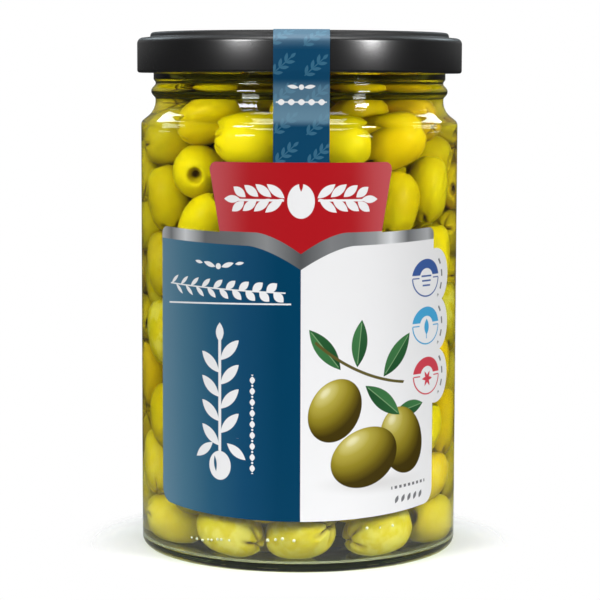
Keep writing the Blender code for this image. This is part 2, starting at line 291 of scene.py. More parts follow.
def softbox(name, azimuth, elevation, size, watts, tint):
    """A rectangular lamp that faces the middle of the jar."""
    data = bpy.data.lights.new(name, "AREA")
    data.shape = "RECTANGLE"
    data.size, data.size_y = size
    data.energy = watts
    data.color = tint
    lamp = bpy.data.objects.new(name, data)
    a, e = math.radians(azimuth), math.radians(elevation)
    way = Vector((math.sin(a) * math.cos(e), -math.cos(a) * math.cos(e), math.sin(e)))
    lamp.location = Vector((0, 0, 0.5 * LID_TOP)) + way * LAMP_DISTANCE
    lamp.rotation_euler = way.to_track_quat("Z", "Y").to_euler()
    bpy.context.scene.collection.objects.link(lamp)


for row in SOFTBOXES:
    softbox(*row)
print(f"{len(SOFTBOXES)} softboxes")


# %% Light the world
def backdrop():
    """A world that is white for the camera and nearly dark for everything else."""
    world = bpy.data.worlds.new("studio")
    world.use_nodes = True
    world.node_tree.nodes.clear()
    board = Board(world.node_tree)
    to_viewer = board.node("ShaderNodeLightPath", output="Is Camera Ray")
    _, from_viewer, upward = board.axes(board.node("ShaderNodeTexCoord", output="Generated"))
    glow = 0.03 + 0.12 * from_viewer.within(-0.2, 0.8) * upward.within(-0.05, 0.1)
    room = board.node("ShaderNodeBackground", None, {"Color": rgba(PLAIN_WHITE), "Strength": glow})
    white = board.node("ShaderNodeBackground", None, {"Color": rgba(PLAIN_WHITE), "Strength": 1.0})
    seen = board.node("ShaderNodeMixShader", None, {0: to_viewer, 1: room, 2: white})
    end = world.node_tree.nodes.new("ShaderNodeOutputWorld")
    world.node_tree.links.new(seen.socket, end.inputs["Surface"])
    return world


bpy.context.scene.world = backdrop()
bpy.context.scene.view_settings.view_transform = "Standard"
print("white backdrop")

# %% Lay the floor
FLOOR_REACH = 4.0
# Distances from the jar's axis, in metres, between which the floor fades or darkens
FADES_FOR_LIGHT = (0.08, 0.24)
FADES_FOR_VIEWER = (0.043, 0.062)
DARKENS_IN_MIRRORS = (0.05, 0.1)


def floor_finish():
    """Pale paper that fades out round the jar, sooner for the camera than for the light."""
    mat, board = new_finish("studio paper")
    distance = board.node("ShaderNodeVectorMath", {"operation": "LENGTH"}, {0: board.place()}, "Value")
    to_viewer = board.node("ShaderNodeLightPath", output="Is Camera Ray")
    mirrored = to_viewer.other("Is Glossy Ray") * to_viewer.other("Is Reflection Ray")
    gone = distance.within(*FADES_FOR_LIGHT).most(to_viewer * distance.within(*FADES_FOR_VIEWER))
    tone = board.mix(to_viewer, (0.62, 0.62, 0.62), (0.95, 0.95, 0.95))
    far = distance.within(*DARKENS_IN_MIRRORS)
    darkened = board.mix(far, (0.4, 0.4, 0.4), (0.06, 0.06, 0.06))
    paper = board.node("ShaderNodeBsdfDiffuse", None, {"Color": board.mix(mirrored, tone, darkened)})
    clear = board.node("ShaderNodeBsdfTransparent")
    surface(board, board.node("ShaderNodeMixShader", None, {0: gone, 1: paper, 2: clear}))
    return mat


floor_mesh = bpy.data.meshes.new("studio_floor")
corners = [(-1, -1), (1, -1), (1, 1), (-1, 1)]
floor_mesh.from_pydata([(x * FLOOR_REACH, y * FLOOR_REACH, 0.0) for x, y in corners], [], [(0, 1, 2, 3)])
floor_mesh.materials.append(floor_finish())
studio_floor = bpy.data.objects.new("studio_floor", floor_mesh)
bpy.context.scene.collection.objects.link(studio_floor)
print(f"floor of {2 * FLOOR_REACH:.0f} m")

# %% [markdown]
# ## Shape helpers
#
# Glass jars, caps and liquids are all turned shapes. A profile is a short list of
# corners with a rounding radius each. A Geometry Nodes tree then turns the profile:
# it makes a grid with one row for each profile point, samples the profile by row, and
# swings each column round the axis. One tree serves every turned piece.


# %% Profiles
def rounded(corners, steps=6):
    """A path through (radius, height, rounding) corners, with arcs at the rounded ones."""
    path = []
    for i, (x, z, fillet) in enumerate(corners):
        here = Vector((x, z))
        if fillet <= 0 or i in (0, len(corners) - 1):
            path.append(tuple(here))
            continue
        back = (Vector(corners[i - 1][:2]) - here).normalized()
        ahead = (Vector(corners[i + 1][:2]) - here).normalized()
        half = 0.5 * math.acos(max(-1.0, min(1.0, back.dot(ahead))))
        reach = fillet / math.tan(half)
        centre = here + (back + ahead).normalized() * (fillet / math.sin(half))
        start = here + back * reach - centre
        sweep = start.angle_signed(here + ahead * reach - centre)
        for k in range(steps + 1):
            a = -sweep * k / steps
            turned_x = start.x * math.cos(a) - start.y * math.sin(a)
            turned_z = start.x * math.sin(a) + start.y * math.cos(a)
            path.append((centre.x + turned_x, centre.y + turned_z))
    return path


square_corner = [(0, 0, 0), (1, 0, 0.2), (1, 1, 0)]
print(f"a rounded corner becomes {len(rounded(square_corner)) - 2} points")


# %% Start and end of a tree
def new_tree(name, inputs, result):
    """The board of a Geometry Nodes tree, and a wire for each of its named inputs."""
    tree = bpy.data.node_groups.new(name, "GeometryNodeTree")
    for label, kind in inputs.items():
        tree.interface.new_socket(label, in_out="INPUT", socket_type="NodeSocket" + kind)
    tree.interface.new_socket(result, in_out="OUTPUT", socket_type="NodeSocketGeometry")
    board = Board(tree)
    given = board.node("NodeGroupInput")
    return board, [given.other(i) for i in range(len(inputs))]


def tree_end(board, shape, finish):
    """Makes copies real, gives them their finish, and ends the tree."""
    shape = board.node("GeometryNodeRealizeInstances", None, {0: shape})
    shape = board.node("GeometryNodeSetMaterial", None, {"Geometry": shape, "Material": finish})
    end = board.tree.nodes.new("NodeGroupOutput")
    board.tree.links.new(shape.socket, end.inputs[0])
    return board.tree


# %% A tree that turns a profile
def turning_tree():
    inputs = {"Profile": "Geometry", "Sides": "Int", "Merge distance": "Float", "Finish": "Material"}
    board, (profile, sides, merge, finish) = new_tree("turn a profile", inputs, "Piece")
    rows = board.node("GeometryNodeAttributeDomainSize", {"component": "MESH"}, {0: profile})
    columns = sides + 1
    grid = board.node("GeometryNodeMeshGrid", None, {0: 1.0, 1: 1.0, 2: rows, 3: columns})
    index = board.node("GeometryNodeInputIndex")
    row = (index / columns).maths("FLOOR")
    angle = (index - row * columns) / sides * (2 * math.pi)
    place = board.node("GeometryNodeInputPosition")
    settings = {"data_type": "FLOAT_VECTOR", "domain": "POINT"}
    values = {"Geometry": profile, "Value": place, "Index": row}
    point = board.node("GeometryNodeSampleIndex", settings, values)
    radius, _, height = board.axes(point)
    swung = {0: radius * angle.maths("COSINE"), 1: radius * angle.maths("SINE"), 2: height}
    place = board.node("ShaderNodeCombineXYZ", None, swung)
    shape = board.node("GeometryNodeSetPosition", None, {"Geometry": grid, "Position": place})
    shape = board.node("GeometryNodeMergeByDistance", None, {"Geometry": shape, "Distance": merge})
    shape = board.node("GeometryNodeSetShadeSmooth", None, {"Geometry": shape})
    return tree_end(board, shape, finish)


TURNING = turning_tree()
report(TURNING.name, TURNING)


# %% Run a tree and keep its result as a plain mesh
def grown(name, start_mesh, tree, inputs):
    """Puts start_mesh through a Geometry Nodes tree and returns a plain mesh object."""
    ob = bpy.data.objects.new(name, start_mesh)
    bpy.context.scene.collection.objects.link(ob)
    modifier = ob.modifiers.new(tree.name, "NODES")
    modifier.node_group = tree
    for socket in tree.interface.items_tree:
        if socket.name in inputs:
            modifier[socket.identifier] = inputs[socket.name]
    graph = bpy.context.evaluated_depsgraph_get()
    mesh = bpy.data.meshes.new_from_object(ob.evaluated_get(graph))
    ob.modifiers.clear()
    ob.data = mesh
    mesh.name = name
    return ob


def outward(ob, smooth_angle=40):
    """Points the faces outwards and marks the edges that stay crisp."""
    bm = bmesh.new()
    bm.from_mesh(ob.data)
    bmesh.ops.recalc_face_normals(bm, faces=bm.faces[:])
    bm.to_mesh(ob.data)
    bm.free()
    ob.data.shade_smooth()
    ob.data.set_sharp_from_angle(angle=math.radians(smooth_angle))


def turned(name, profile, finish, sides=192):
    mesh = bpy.data.meshes.new(name)
    mesh.from_pydata([(radius, 0.0, height) for radius, height in profile], [], [])
    ob = grown(name, mesh, TURNING, {"Sides": sides, "Merge distance": 0.02 * MM, "Finish": finish})
    outward(ob)
    print(f"{name}: {len(ob.data.polygons)} faces from {len(profile)} profile points")
    return ob

# %% [markdown]
# ## The glass
#
# A pressed jar is one sheet of soda-lime glass, about 2.5 mm thick, with a neck bead
# under the cap and a shallow push-up in its base. It is a closed shell with an inside
# and an outside, because glass bends light at both. A clear shader alone would leave
# the olives in the dark, as lamps can't reach through it, so shadow rays pass it.
# A faint absorption gives thick glass, such as the base, its grey-green tint.


# %% Clear materials
def clear_finish(name, bend, absorb_colour, absorb_strength, shadow_tint):
    """Glass or liquid: it bends light, tints it by depth, and lets lamps through."""
    mat, board = new_finish(name)
    values = {"Base Color": (1, 1, 1, 1), "Roughness": 0.0, "IOR": bend, "Transmission Weight": 1.0}
    glass = board.node("ShaderNodeBsdfPrincipled", None, values)
    open_way = board.node("ShaderNodeBsdfTransparent", None, {0: rgba(shadow_tint)})
    is_shadow = board.node("ShaderNodeLightPath", output="Is Shadow Ray")
    shader = board.node("ShaderNodeMixShader", None, {0: is_shadow, 1: glass, 2: open_way})
    values = {"Color": rgba(absorb_colour), "Density": absorb_strength}
    surface(board, shader, board.node("ShaderNodeVolumeAbsorption", None, values))
    return mat


GLASS = clear_finish("clear soda glass", 1.5, (0.42, 0.53, 0.20), 50.0, (0.96, 0.98, 0.94))
report(GLASS.name, GLASS.node_tree)

# %% Turn the jar
FLOOR = 2.0 * MM
NECK_BORE = 35.6 * MM
inner_wall = BODY_RADIUS - WALL


def bore(grown_by=0.0):
    """Corners of the jar's inside up to the neck, or of a form that is larger by a little."""
    wide, neck, lift = inner_wall + grown_by, NECK_BORE + grown_by, 0.5 * grown_by
    return [
        (0.0, FLOOR + 0.5 * MM - grown_by, 0),
        (18 * MM, FLOOR + 0.4 * MM - grown_by, 30 * MM),
        (30 * MM, FLOOR - grown_by, 10 * MM),
        (wide, FLOOR - grown_by, 3.5 * MM),
        (wide, 111.3 * MM + lift, 4.0 * MM),
        (neck, 115.9 * MM + lift, 2.5 * MM),
    ]


outside = [
    (NECK_BORE, RIM_HEIGHT, 1.2 * MM),
    (38.7 * MM, RIM_HEIGHT, 1.3 * MM),
    (38.7 * MM, 124.3 * MM, 0.6 * MM),
    (37.9 * MM, 123.3 * MM, 0.8 * MM),
    (39.8 * MM, 121.2 * MM, 1.4 * MM),
    (38.2 * MM, 119.4 * MM, 0.8 * MM),
    (38.2 * MM, 116.2 * MM, 5.0 * MM),
    (BODY_RADIUS, 113.2 * MM, 1.8 * MM),
    (BODY_RADIUS, 0.0, 2.5 * MM),
    (36.0 * MM, 0.0, 0.5 * MM),
    (34.5 * MM, 0.6 * MM, 0.5 * MM),
    (0.0, 0.6 * MM, 0),
]
jar = turned("jar_glass", rounded(bore() + outside), GLASS)
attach(jar, "root")
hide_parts("glass_jar")

# %% [markdown]
# ## The brine
#
# Brine is water with salt and a little oil and pigment from the fruit, so it is a
# clear yellow-green that deepens with distance. It fills the jar up into the neck,
# where the cap hides its surface. The piece has the jar's own inner profile, but grown
# by a tenth of a millimetre, so that it reaches into the glass: with a gap there, light
# would cross an air layer and the wall would turn into a mirror.

# %% Fill the jar with brine
BRINE_LEVEL = 125.4 * MM
BITE = 0.12 * MM
BRINE = clear_finish("yellow brine", 1.34, (0.83, 0.82, 0.18), 80.0, (0.98, 0.98, 0.90))
surface_line = [
    (NECK_BORE + BITE, BRINE_LEVEL + 0.9 * MM, 0.05 * MM),
    (NECK_BORE - 1.6 * MM, BRINE_LEVEL, 1.5 * MM),
    (0.0, BRINE_LEVEL, 0),
]
brine = turned("brine", rounded(bore(BITE) + surface_line), BRINE)
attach(brine, "root")

# %% [markdown]
# ## How the olives lie
#
# About 250 olives lie in the jar, pressed into each other's gaps, up into the neck. A
# row or a lattice would look false, so they are left to settle: each olive is three
# balls in a row, the balls sink a little and push each other apart, and the wall pushes
# back. The ones that show most plainly start where they are wanted and hardly move.

# %% Settle the olives
OLIVE_RADIUS = 6.5 * MM
OLIVE_HALF = 9.0 * MM
TIP_RADIUS = 5.4 * MM
TIP_OFFSET = 3.6 * MM
OLIVE_COUNT = 246
OLIVE_SPREAD = 0.07
HEAP_RADIUS = inner_wall - PAPER_GAP
HEAP_FLOOR = FLOOR + 0.1 * MM
HEAP_TOP = 121.0 * MM
SHOULDER_HEIGHTS = (110.6 * MM, 116.2 * MM)
SHOULDER_REACHES = (HEAP_RADIUS, NECK_BORE - PAPER_GAP)
# The shoulder meets a ball's upper side first, so it is read a share of a radius higher
SHOULDER_AHEAD = 0.3
SETTLE_STEPS = 420
SETTLE_DROP = 0.05 * MM
DROP_STEPS = 0.75 * SETTLE_STEPS
PUSH_EASE = 0.9
TURN_EASE = 0.4
LIST_EVERY = 12
LIST_REACH = 3.0 * MM
PLACED_SHARE = 0.02
LOWEST_COUNT = 5
LOWEST_SIZE = 1.05
HOLES_OUTWARD = 0.15
WALL_REACH = 26.0 * MM
SEED = 11

# Olives placed one by one against the wall: azimuth from the front in degrees, height in mm, lean of the
# long axis from level, and its turn out of the wall.
SHOWN = (
    (-66, 8.0, 12, -52),
    (-28.5, 9.0, 164, -14),
    (-0.5, 9.0, 216, -52),
    (35.5, 8.3, 4, -3),
    (77, 9.0, 176, -19),
    (-56, 15.5, 20, 70),
    (-74, 21, 100, 0),
    (-70, 36, 100, 0),
    (-84, 47, 100, 0),
    (-68, 59, 100, 0),
    (-72, 76, 98, 0),
    (-69, 93.5, 96, 0),
    (-52, 100.6, -15, 57),
    (-72, 107.8, 0, -57),
    (-19.5, 108.8, 0, -12),
    (-44, 86, 60, 0),
    (14, 108.2, -5, 8),
    (46, 107.8, 34, 38),
    (67, 96, 82, 0),
    (44, 92.5, 78, 0),
    (70, 78, 82, 0),
    (84, 62, 84, 0),
    (70, 50, 80, 0),
    (81, 33, 82, 0),
    (86, 18, 70, 0),
)


def against_wall(azimuth, height, lean, turn, size):
    """Centre and long axis of an olive that touches the wall."""
    a, b, c = (math.radians(v) for v in (azimuth, lean, turn))
    side = np.array((math.cos(a), math.sin(a), 0.0))
    out = np.array((math.sin(a), -math.cos(a), 0.0))
    along = math.cos(b) * side + np.array((0.0, 0.0, math.sin(b)))
    depth = math.hypot(OLIVE_RADIUS * math.cos(c), OLIVE_HALF * math.sin(c))
    centre = out * (HEAP_RADIUS - depth * size) + np.array((0.0, 0.0, height * MM))
    return centre, math.cos(c) * along + math.sin(c) * out


def scattered_olives():
    """Centres, axes, sizes and shares of movement before the olives settle."""
    rng = np.random.default_rng(SEED)
    n = OLIVE_COUNT
    radius = (HEAP_RADIUS - OLIVE_RADIUS) * np.sqrt(rng.random(n))
    angle = rng.random(n) * 2 * math.pi
    low, high = HEAP_FLOOR + OLIVE_RADIUS, HEAP_TOP - OLIVE_RADIUS
    height = low + (high - low) * rng.random(n)
    centre = np.stack([radius * np.cos(angle), radius * np.sin(angle), height], axis=1)
    axis = rng.normal(size=(n, 3))
    axis /= np.linalg.norm(axis, axis=1)[:, None]
    turned_out = (axis[:, :2] * centre[:, :2]).sum(1) > 0
    axis[turned_out & (rng.random(n) > HOLES_OUTWARD)] *= -1
    size = rng.uniform(1 - OLIVE_SPREAD, 1 + OLIVE_SPREAD, n)
    share = np.ones(n)
    for i, row in enumerate(SHOWN):
        size[i] = LOWEST_SIZE if i < LOWEST_COUNT else 1.0
        centre[i], axis[i] = against_wall(*row, size[i])
        share[i] = PLACED_SHARE
    return centre, axis, size, share


def near_pairs(balls, radii, owner):
    """Pairs of balls from different olives that lie close together."""
    square = (balls**2).sum(1)
    far = square[:, None] + square[None, :] - 2 * balls @ balls.T
    near = far < (radii[:, None] + radii[None, :] + LIST_REACH) ** 2
    return np.nonzero(near & (owner[:, None] < owner[None, :]))


def settled_olives():
    """Each olive is three balls in a row. They sink, and push each other apart."""
    centre, axis, size, share = scattered_olives()
    n = OLIVE_COUNT
    radii = np.concatenate([TIP_RADIUS * size, OLIVE_RADIUS * size, TIP_RADIUS * size])
    offset = np.concatenate([-TIP_OFFSET * size, 0 * size, TIP_OFFSET * size])
    owner = np.tile(np.arange(n), 3)
    weight = share[owner]
    for step in range(SETTLE_STEPS):
        balls = centre[owner] + offset[:, None] * axis[owner]
        if step % LIST_EVERY == 0:
            one, two = near_pairs(balls, radii, owner)
            both = np.concatenate([one, two])
            split = (weight[one] / (weight[one] + weight[two]))[:, None]
        apart = balls[one] - balls[two]
        far = np.linalg.norm(apart, axis=1) + 1e-12
        over = np.maximum(radii[one] + radii[two] - far, 0)
        shove = apart * (over / far)[:, None]
        shoves = np.concatenate([shove * split, shove * (split - 1)])
        hits = np.bincount(both, np.tile(over > 0, 2), len(balls))
        push = np.stack([np.bincount(both, shoves[:, k], len(balls)) for k in range(3)], axis=1)
        push *= (PUSH_EASE / np.sqrt(np.maximum(hits, 1)))[:, None]
        push[:, 2] -= SETTLE_DROP * weight * max(0.0, 1 - step / DROP_STEPS)
        reach = np.hypot(balls[:, 0], balls[:, 1]) + 1e-12
        room = np.interp(balls[:, 2] + SHOULDER_AHEAD * radii, SHOULDER_HEIGHTS, SHOULDER_REACHES)
        beyond = np.maximum(reach - (room - radii), 0)
        push[:, :2] -= balls[:, :2] * (beyond / reach)[:, None]
        push[:, 2] += np.maximum(HEAP_FLOOR + radii - balls[:, 2], 0)
        push[:, 2] -= np.maximum(balls[:, 2] - (HEAP_TOP - radii), 0)
        low, middle, high = push.reshape(3, n, 3)
        centre = centre + (low + middle + high) / 2
        axis = axis + (high - low) * TURN_EASE / TIP_OFFSET
        axis /= np.linalg.norm(axis, axis=1)[:, None]
    return centre, axis, size


CENTRES, AXES, SIZES = settled_olives()
from_axis = np.hypot(CENTRES[:, 0], CENTRES[:, 1])
at_wall = from_axis > WALL_REACH
print(f"{OLIVE_COUNT} olives, {int(at_wall.sum())} of them at the wall")

# %% [markdown]
# ## One olive
#
# A pitted olive is a plump oval with a round hole at one end, where the stone came out, and a small star
# of cuts at the other, where the pin went in. It is a turned form with grooves pressed in near one pole,
# so it is made as rings of points: first the star end, then the flanks, the rim of the hole, and the
# hole's own wall, which narrows like a funnel. An attribute called cut marks the star and the hole and
# grows inwards: it gives them the darker colour of cut flesh and, deeper in, a painted shade that darkens
# the grooves and the hole's floor.

# %% Shape a pitted olive
HOLE_RADIUS = 2.0 * MM
HOLE_DEPTH = 4.4 * MM
HOLE_RIM = 0.905
HOLE_TOP = 0.925
# Radius, depth and cut of the rings down the hole; cut grows with depth, as painted shade
HOLE_RINGS = (
    (HOLE_RADIUS + 0.35 * MM, 0.0, 0.1),
    (HOLE_RADIUS, 0.25 * MM, 0.25),
    (0.82 * HOLE_RADIUS, 0.3 * HOLE_DEPTH, 0.35),
    (0.58 * HOLE_RADIUS, 0.6 * HOLE_DEPTH, 0.5),
    (0.36 * HOLE_RADIUS, HOLE_DEPTH, 0.85),
    (0.0, 1.1 * HOLE_DEPTH, 1.0),
)
STAR_REACH = 4.6 * MM
STAR_DEPTH = 2.4 * MM
STAR_ARMS = 5
PLUMPNESS = 2.25
TAPER = 0.05


def flank(t):
    """The olive's radius at a height from -1, the star's pole, to 1, the hole's."""
    return OLIVE_RADIUS * max(0.0, 1 - abs(t) ** PLUMPNESS) ** 0.5 * (1 + TAPER * t)


def star_height(radius):
    """The height at which the star's end has this radius, found by halving."""
    low, high = -1.0, -0.5
    for _ in range(30):
        middle = 0.5 * (low + high)
        if flank(middle) < radius:
            low = middle
        else:
            high = middle
    return low


def olive_rings(flank_rings, star_rings):
    """(radius, height, cut) for each ring, from the star's middle to the hole's floor."""
    rings = []
    for k in range(star_rings + 1):
        radius = STAR_REACH * k / star_rings
        rings.append((radius, star_height(radius) * OLIVE_HALF, 0.0))
    start = rings[-1][1] / OLIVE_HALF
    for k in range(1, flank_rings + 1):
        a = math.asin(start) + (math.asin(HOLE_RIM) - math.asin(start)) * k / flank_rings
        rings.append((flank(math.sin(a)), math.sin(a) * OLIVE_HALF, 0.0))
    for radius, depth, cut in HOLE_RINGS:
        rings.append((radius, HOLE_TOP * OLIVE_HALF - depth, cut))
    return rings


# %% Press the star in and build the mesh
def star_groove(radius, angle):
    """How far a point near the star's pole is pressed in, from 0 to 1."""
    share = radius / STAR_REACH
    arm = 0.5 + 0.5 * math.cos(STAR_ARMS * angle + 0.5 * math.sin(2 * angle))
    narrow = arm ** (2 + 8 * share)
    return (1 - share) ** 0.6 * max(narrow, (1 - share) ** 6)


def olive_template(name, columns, flank_rings, star_rings):
    bm = bmesh.new()
    cut_and_shade_layer = bm.verts.layers.float.new("cut")
    rows = []
    for radius, height, cut in olive_rings(flank_rings, star_rings):
        row = []
        for j in range(1 if radius == 0 else columns):
            a = 2 * math.pi * j / columns
            groove = star_groove(radius, a) if height < 0 and radius <= STAR_REACH else 0.0
            pressed = height + STAR_DEPTH * groove
            vert = bm.verts.new((radius * math.cos(a), radius * math.sin(a), pressed))
            # The cut share rises into the star's grooves, where it paints shade into the creases
            vert[cut_and_shade_layer] = max(cut, min(1.0, 1.3 * groove))
            row.append(vert)
        rows.append(row)
    for lower, upper in zip(rows, rows[1:]):
        for j in range(columns):
            corners = [lower[j % len(lower)], lower[(j + 1) % len(lower)]]
            corners += [upper[(j + 1) % len(upper)], upper[j % len(upper)]]
            bm.faces.new(list(dict.fromkeys(corners)))
    mesh = bpy.data.meshes.new(name)
    bm.to_mesh(mesh)
    bm.free()
    ob = bpy.data.objects.new(name, mesh)
    bpy.context.scene.collection.objects.link(ob)
    print(f"{name}: {len(mesh.polygons)} faces")
    return ob


FINE_OLIVE = olive_template("olive template", columns=40, flank_rings=13, star_rings=8)
PLAIN_OLIVE = olive_template("plain olive template", columns=16, flank_rings=7, star_rings=2)

# %% [markdown]
# ## Olive flesh
#
# Olives in brine are a strong yellow with a green cast, paler and creamier where they were picked riper,
# and no two are alike. Each olive carries an attribute called tone, drawn at random, and one called pale,
# which grows towards the jar's base and is also given to a few olives higher up. The skin is smooth and
# slightly mottled, and pale olives have creamy blotches. The star and the hole are darker: partly the cut
# flesh's colour, partly painted shade that deepens to a dark core in the grooves and the hole.


# %% Olive finish
def olive_finish():
    mat, board = new_finish("olive flesh")
    tone, pale, cut = (board.node("ShaderNodeAttribute", {"attribute_name": name}, None, 2)
                       for name in ("tone", "pale", "cut"))
    place = board.place()
    patches = board.noise(place, 110.0, 3.0)
    fine = board.noise(place, 900.0, 2.0)
    stops = [
        (0.0, screen(186, 162, 4)),
        (0.3, screen(199, 178, 5)),
        (0.6, screen(217, 197, 7)),
        (0.85, screen(214, 186, 5)),
        (1.0, screen(213, 173, 3)),
    ]
    ripe = board.node("ShaderNodeValToRGB", {"stops": stops}, {0: tone})
    creamy = board.mix(tone, screen(198, 185, 16), screen(210, 195, 30))
    blotches = board.noise(place, 210.0, 5.0)
    creamy = board.mix(blotches.within(0.44, 0.6) * 0.85, creamy, screen(226, 222, 128))
    colour = board.mix(pale * (0.65 + 0.35 * patches), ripe, creamy)
    mottled = board.mix(patches.within(0.42, 0.72) * 0.35, colour, screen(204, 194, 24))
    freckled = board.mix(fine.within(0.62, 0.75) * 0.25, mottled, screen(170, 150, 20))
    # Where cut grows the flesh darkens: first the cut flesh's colour, then painted shade to a dark core
    # in the hole and the grooves
    shaded = board.mix(cut * 0.75, freckled, screen(158, 128, 14))
    shaded = board.mix(cut.within(0.45, 0.9) * 0.9, shaded, screen(92, 66, 14))
    bump = board.bump(patches * 0.6 + fine * 0.12, 0.35, 0.6 * MM)
    values = {
        "Base Color": shaded,
        "Roughness": 0.32,
        "IOR": 1.45,
        "Specular IOR Level": 0.06,
        "Subsurface Weight": 0.15,
        "Subsurface Radius": (1.0, 0.75, 0.15),
        "Subsurface Scale": 0.0025,
        "Normal": bump,
    }
    return opaque(mat, board, values)


OLIVE_FLESH = olive_finish()

# %% [markdown]
# ## Filling the jar
#
# The settled centres become a mesh of loose points, each with its axis, size, spin and
# colour. A tree puts an olive on every point, turns its hole along the axis, realizes
# the copies and then dents them slightly with a noise in space, so that no two are
# equal. Olives further in hardly show, so they are copies of a plainer template, and
# none are needed in the very middle. Three pieces keep each mesh to a handy size.


# %% A tree that puts olives on points
def filling_tree():
    inputs = {"Points": "Geometry", "Olive": "Object", "Dent depth": "Float", "Dent scale": "Float",
              "Finish": "Material"}
    board, (points, olive, depth, scale, finish) = new_tree("olives on points", inputs, "Olives")

    def stored(name, kind="FLOAT"):
        return board.node("GeometryNodeInputNamedAttribute", {"data_type": kind}, {0: name})

    fruit = board.node("GeometryNodeObjectInfo", {"transform_space": "ORIGINAL"}, {0: olive}, "Geometry")
    values = {"Axis": (0, 0, 1), "Angle": stored("spin")}
    spin = board.node("FunctionNodeAxisAngleToRotation", None, values)
    values = {"Rotation": spin, "Vector": stored("axis", "FLOAT_VECTOR")}
    turn = board.node("FunctionNodeAlignRotationToVector", {"axis": "Z"}, values)
    size = stored("size", "FLOAT_VECTOR")
    values = {"Points": points, "Instance": fruit, "Rotation": turn, "Scale": size}
    shape = board.node("GeometryNodeInstanceOnPoints", None, values)
    shape = board.node("GeometryNodeRealizeInstances", None, {0: shape})
    noise = board.node("ShaderNodeTexNoise", None, {"Scale": scale, "Detail": 1.0})
    values = {0: board.node("GeometryNodeInputNormal"), "Scale": (noise - 0.5) * depth}
    dent = board.node("ShaderNodeVectorMath", {"operation": "SCALE"}, values)
    shape = board.node("GeometryNodeSetPosition", None, {"Geometry": shape, "Offset": dent})
    shape = board.node("GeometryNodeSetShadeSmooth", None, {"Geometry": shape})
    return tree_end(board, shape, finish)


FILLING = filling_tree()
report(FILLING.name, FILLING)


# %% Put the olives in
PALE_BELOW = 28.0 * MM
PALE_SHARE = 0.12
# Tone and paleness of the placed olives whose colour can be made out, by their place in SHOWN: first
# those at the base, then those up the sides, then those at the shoulder. The one far left at 76 mm (10)
# gets the darkest tone as painted shade, for the light falling off towards the sides.
PLACED_TONES = {
    0: (0.6, 0.2), 1: (0.3, 0.8), 2: (0.5, 0.7), 3: (0.4, 0.7), 4: (0.4, 0.1),
    9: (0.2, 0.6), 10: (0.0, 0.1), 11: (0.2, 0.0), 18: (0.35, 0.0), 19: (0.05, 0.0), 21: (0.2, 0.7),
    12: (0.55, 0.0), 13: (0.2, 0.0), 14: (0.62, 0.0), 15: (0.5, 0.0), 16: (0.45, 0.0), 17: (0.9, 0.0),
}
DENT_DEPTH = 0.9 * MM
DENT_SCALE = 130.0


def points_mesh(name, chosen):
    """Loose points with the attributes that the tree and the finish read."""
    rng = np.random.default_rng(SEED + 1)
    tone = rng.random(OLIVE_COUNT)
    spin = rng.random(OLIVE_COUNT) * 2 * math.pi
    slender = rng.uniform(0.94, 1.04, OLIVE_COUNT)
    pale = np.clip((PALE_BELOW - CENTRES[:, 2]) / (20 * MM), 0, 1) * 0.8
    pale = np.maximum(pale, 0.55 * (rng.random(OLIVE_COUNT) < PALE_SHARE))
    for i, (own_tone, own_pale) in PLACED_TONES.items():
        tone[i], pale[i] = own_tone, own_pale
    mesh = bpy.data.meshes.new(name)
    mesh.from_pydata(CENTRES[chosen].tolist(), [], [])
    scale = np.stack([SIZES * slender, SIZES * slender, SIZES], axis=1)
    for label, values in (("tone", tone), ("spin", spin), ("pale", pale)):
        layer = mesh.attributes.new(label, "FLOAT", "POINT")
        layer.data.foreach_set("value", values[chosen].astype(np.float32))
    for label, values in (("axis", AXES), ("size", scale)):
        layer = mesh.attributes.new(label, "FLOAT_VECTOR", "POINT")
        layer.data.foreach_set("vector", values[chosen].astype(np.float32).ravel())
    return mesh


def fill(name, chosen, template):
    """Puts the chosen olives in, and presses what would cross the wall or floor back."""
    inputs = {"Olive": template, "Dent depth": DENT_DEPTH, "Dent scale": DENT_SCALE,
              "Finish": OLIVE_FLESH}
    ob = grown(name, points_mesh(name, chosen), FILLING, inputs)
    place = np.empty(len(ob.data.vertices) * 3, np.float32)
    ob.data.vertices.foreach_get("co", place)
    place = place.reshape(-1, 3)
    reach = np.hypot(place[:, 0], place[:, 1])
    room = np.interp(place[:, 2], SHOULDER_HEIGHTS, SHOULDER_REACHES)
    place[:, :2] *= np.minimum(1, room / np.maximum(reach, 1e-6))[:, None]
    place[:, 2] = np.maximum(place[:, 2], HEAP_FLOOR)
    ob.data.vertices.foreach_set("co", place.ravel())
    ob.data.update()
    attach(ob, "root")
    triangles = sum(len(face.vertices) - 2 for face in ob.data.polygons)
    print(f"{name}: {int(chosen.sum())} olives, {triangles} triangles")
    return ob


TOP_LAYER = 98.0 * MM
HALFWAY = 58.0 * MM
HIDDEN_WITHIN = 17.0 * MM
on_top = ~at_wall & (CENTRES[:, 2] > TOP_LAYER)
lower = CENTRES[:, 2] < HALFWAY
behind = ~at_wall & ~on_top & (from_axis > HIDDEN_WITHIN)
lower_olives = fill("lower_olives", at_wall & lower, FINE_OLIVE)
upper_olives = fill("upper_olives", (at_wall | on_top) & ~lower, FINE_OLIVE)
fill("inner_olives", behind, PLAIN_OLIVE)
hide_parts("olives")
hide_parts("olives")
for template in (FINE_OLIVE, PLAIN_OLIVE):
    bpy.data.objects.remove(template, do_unlink=True)
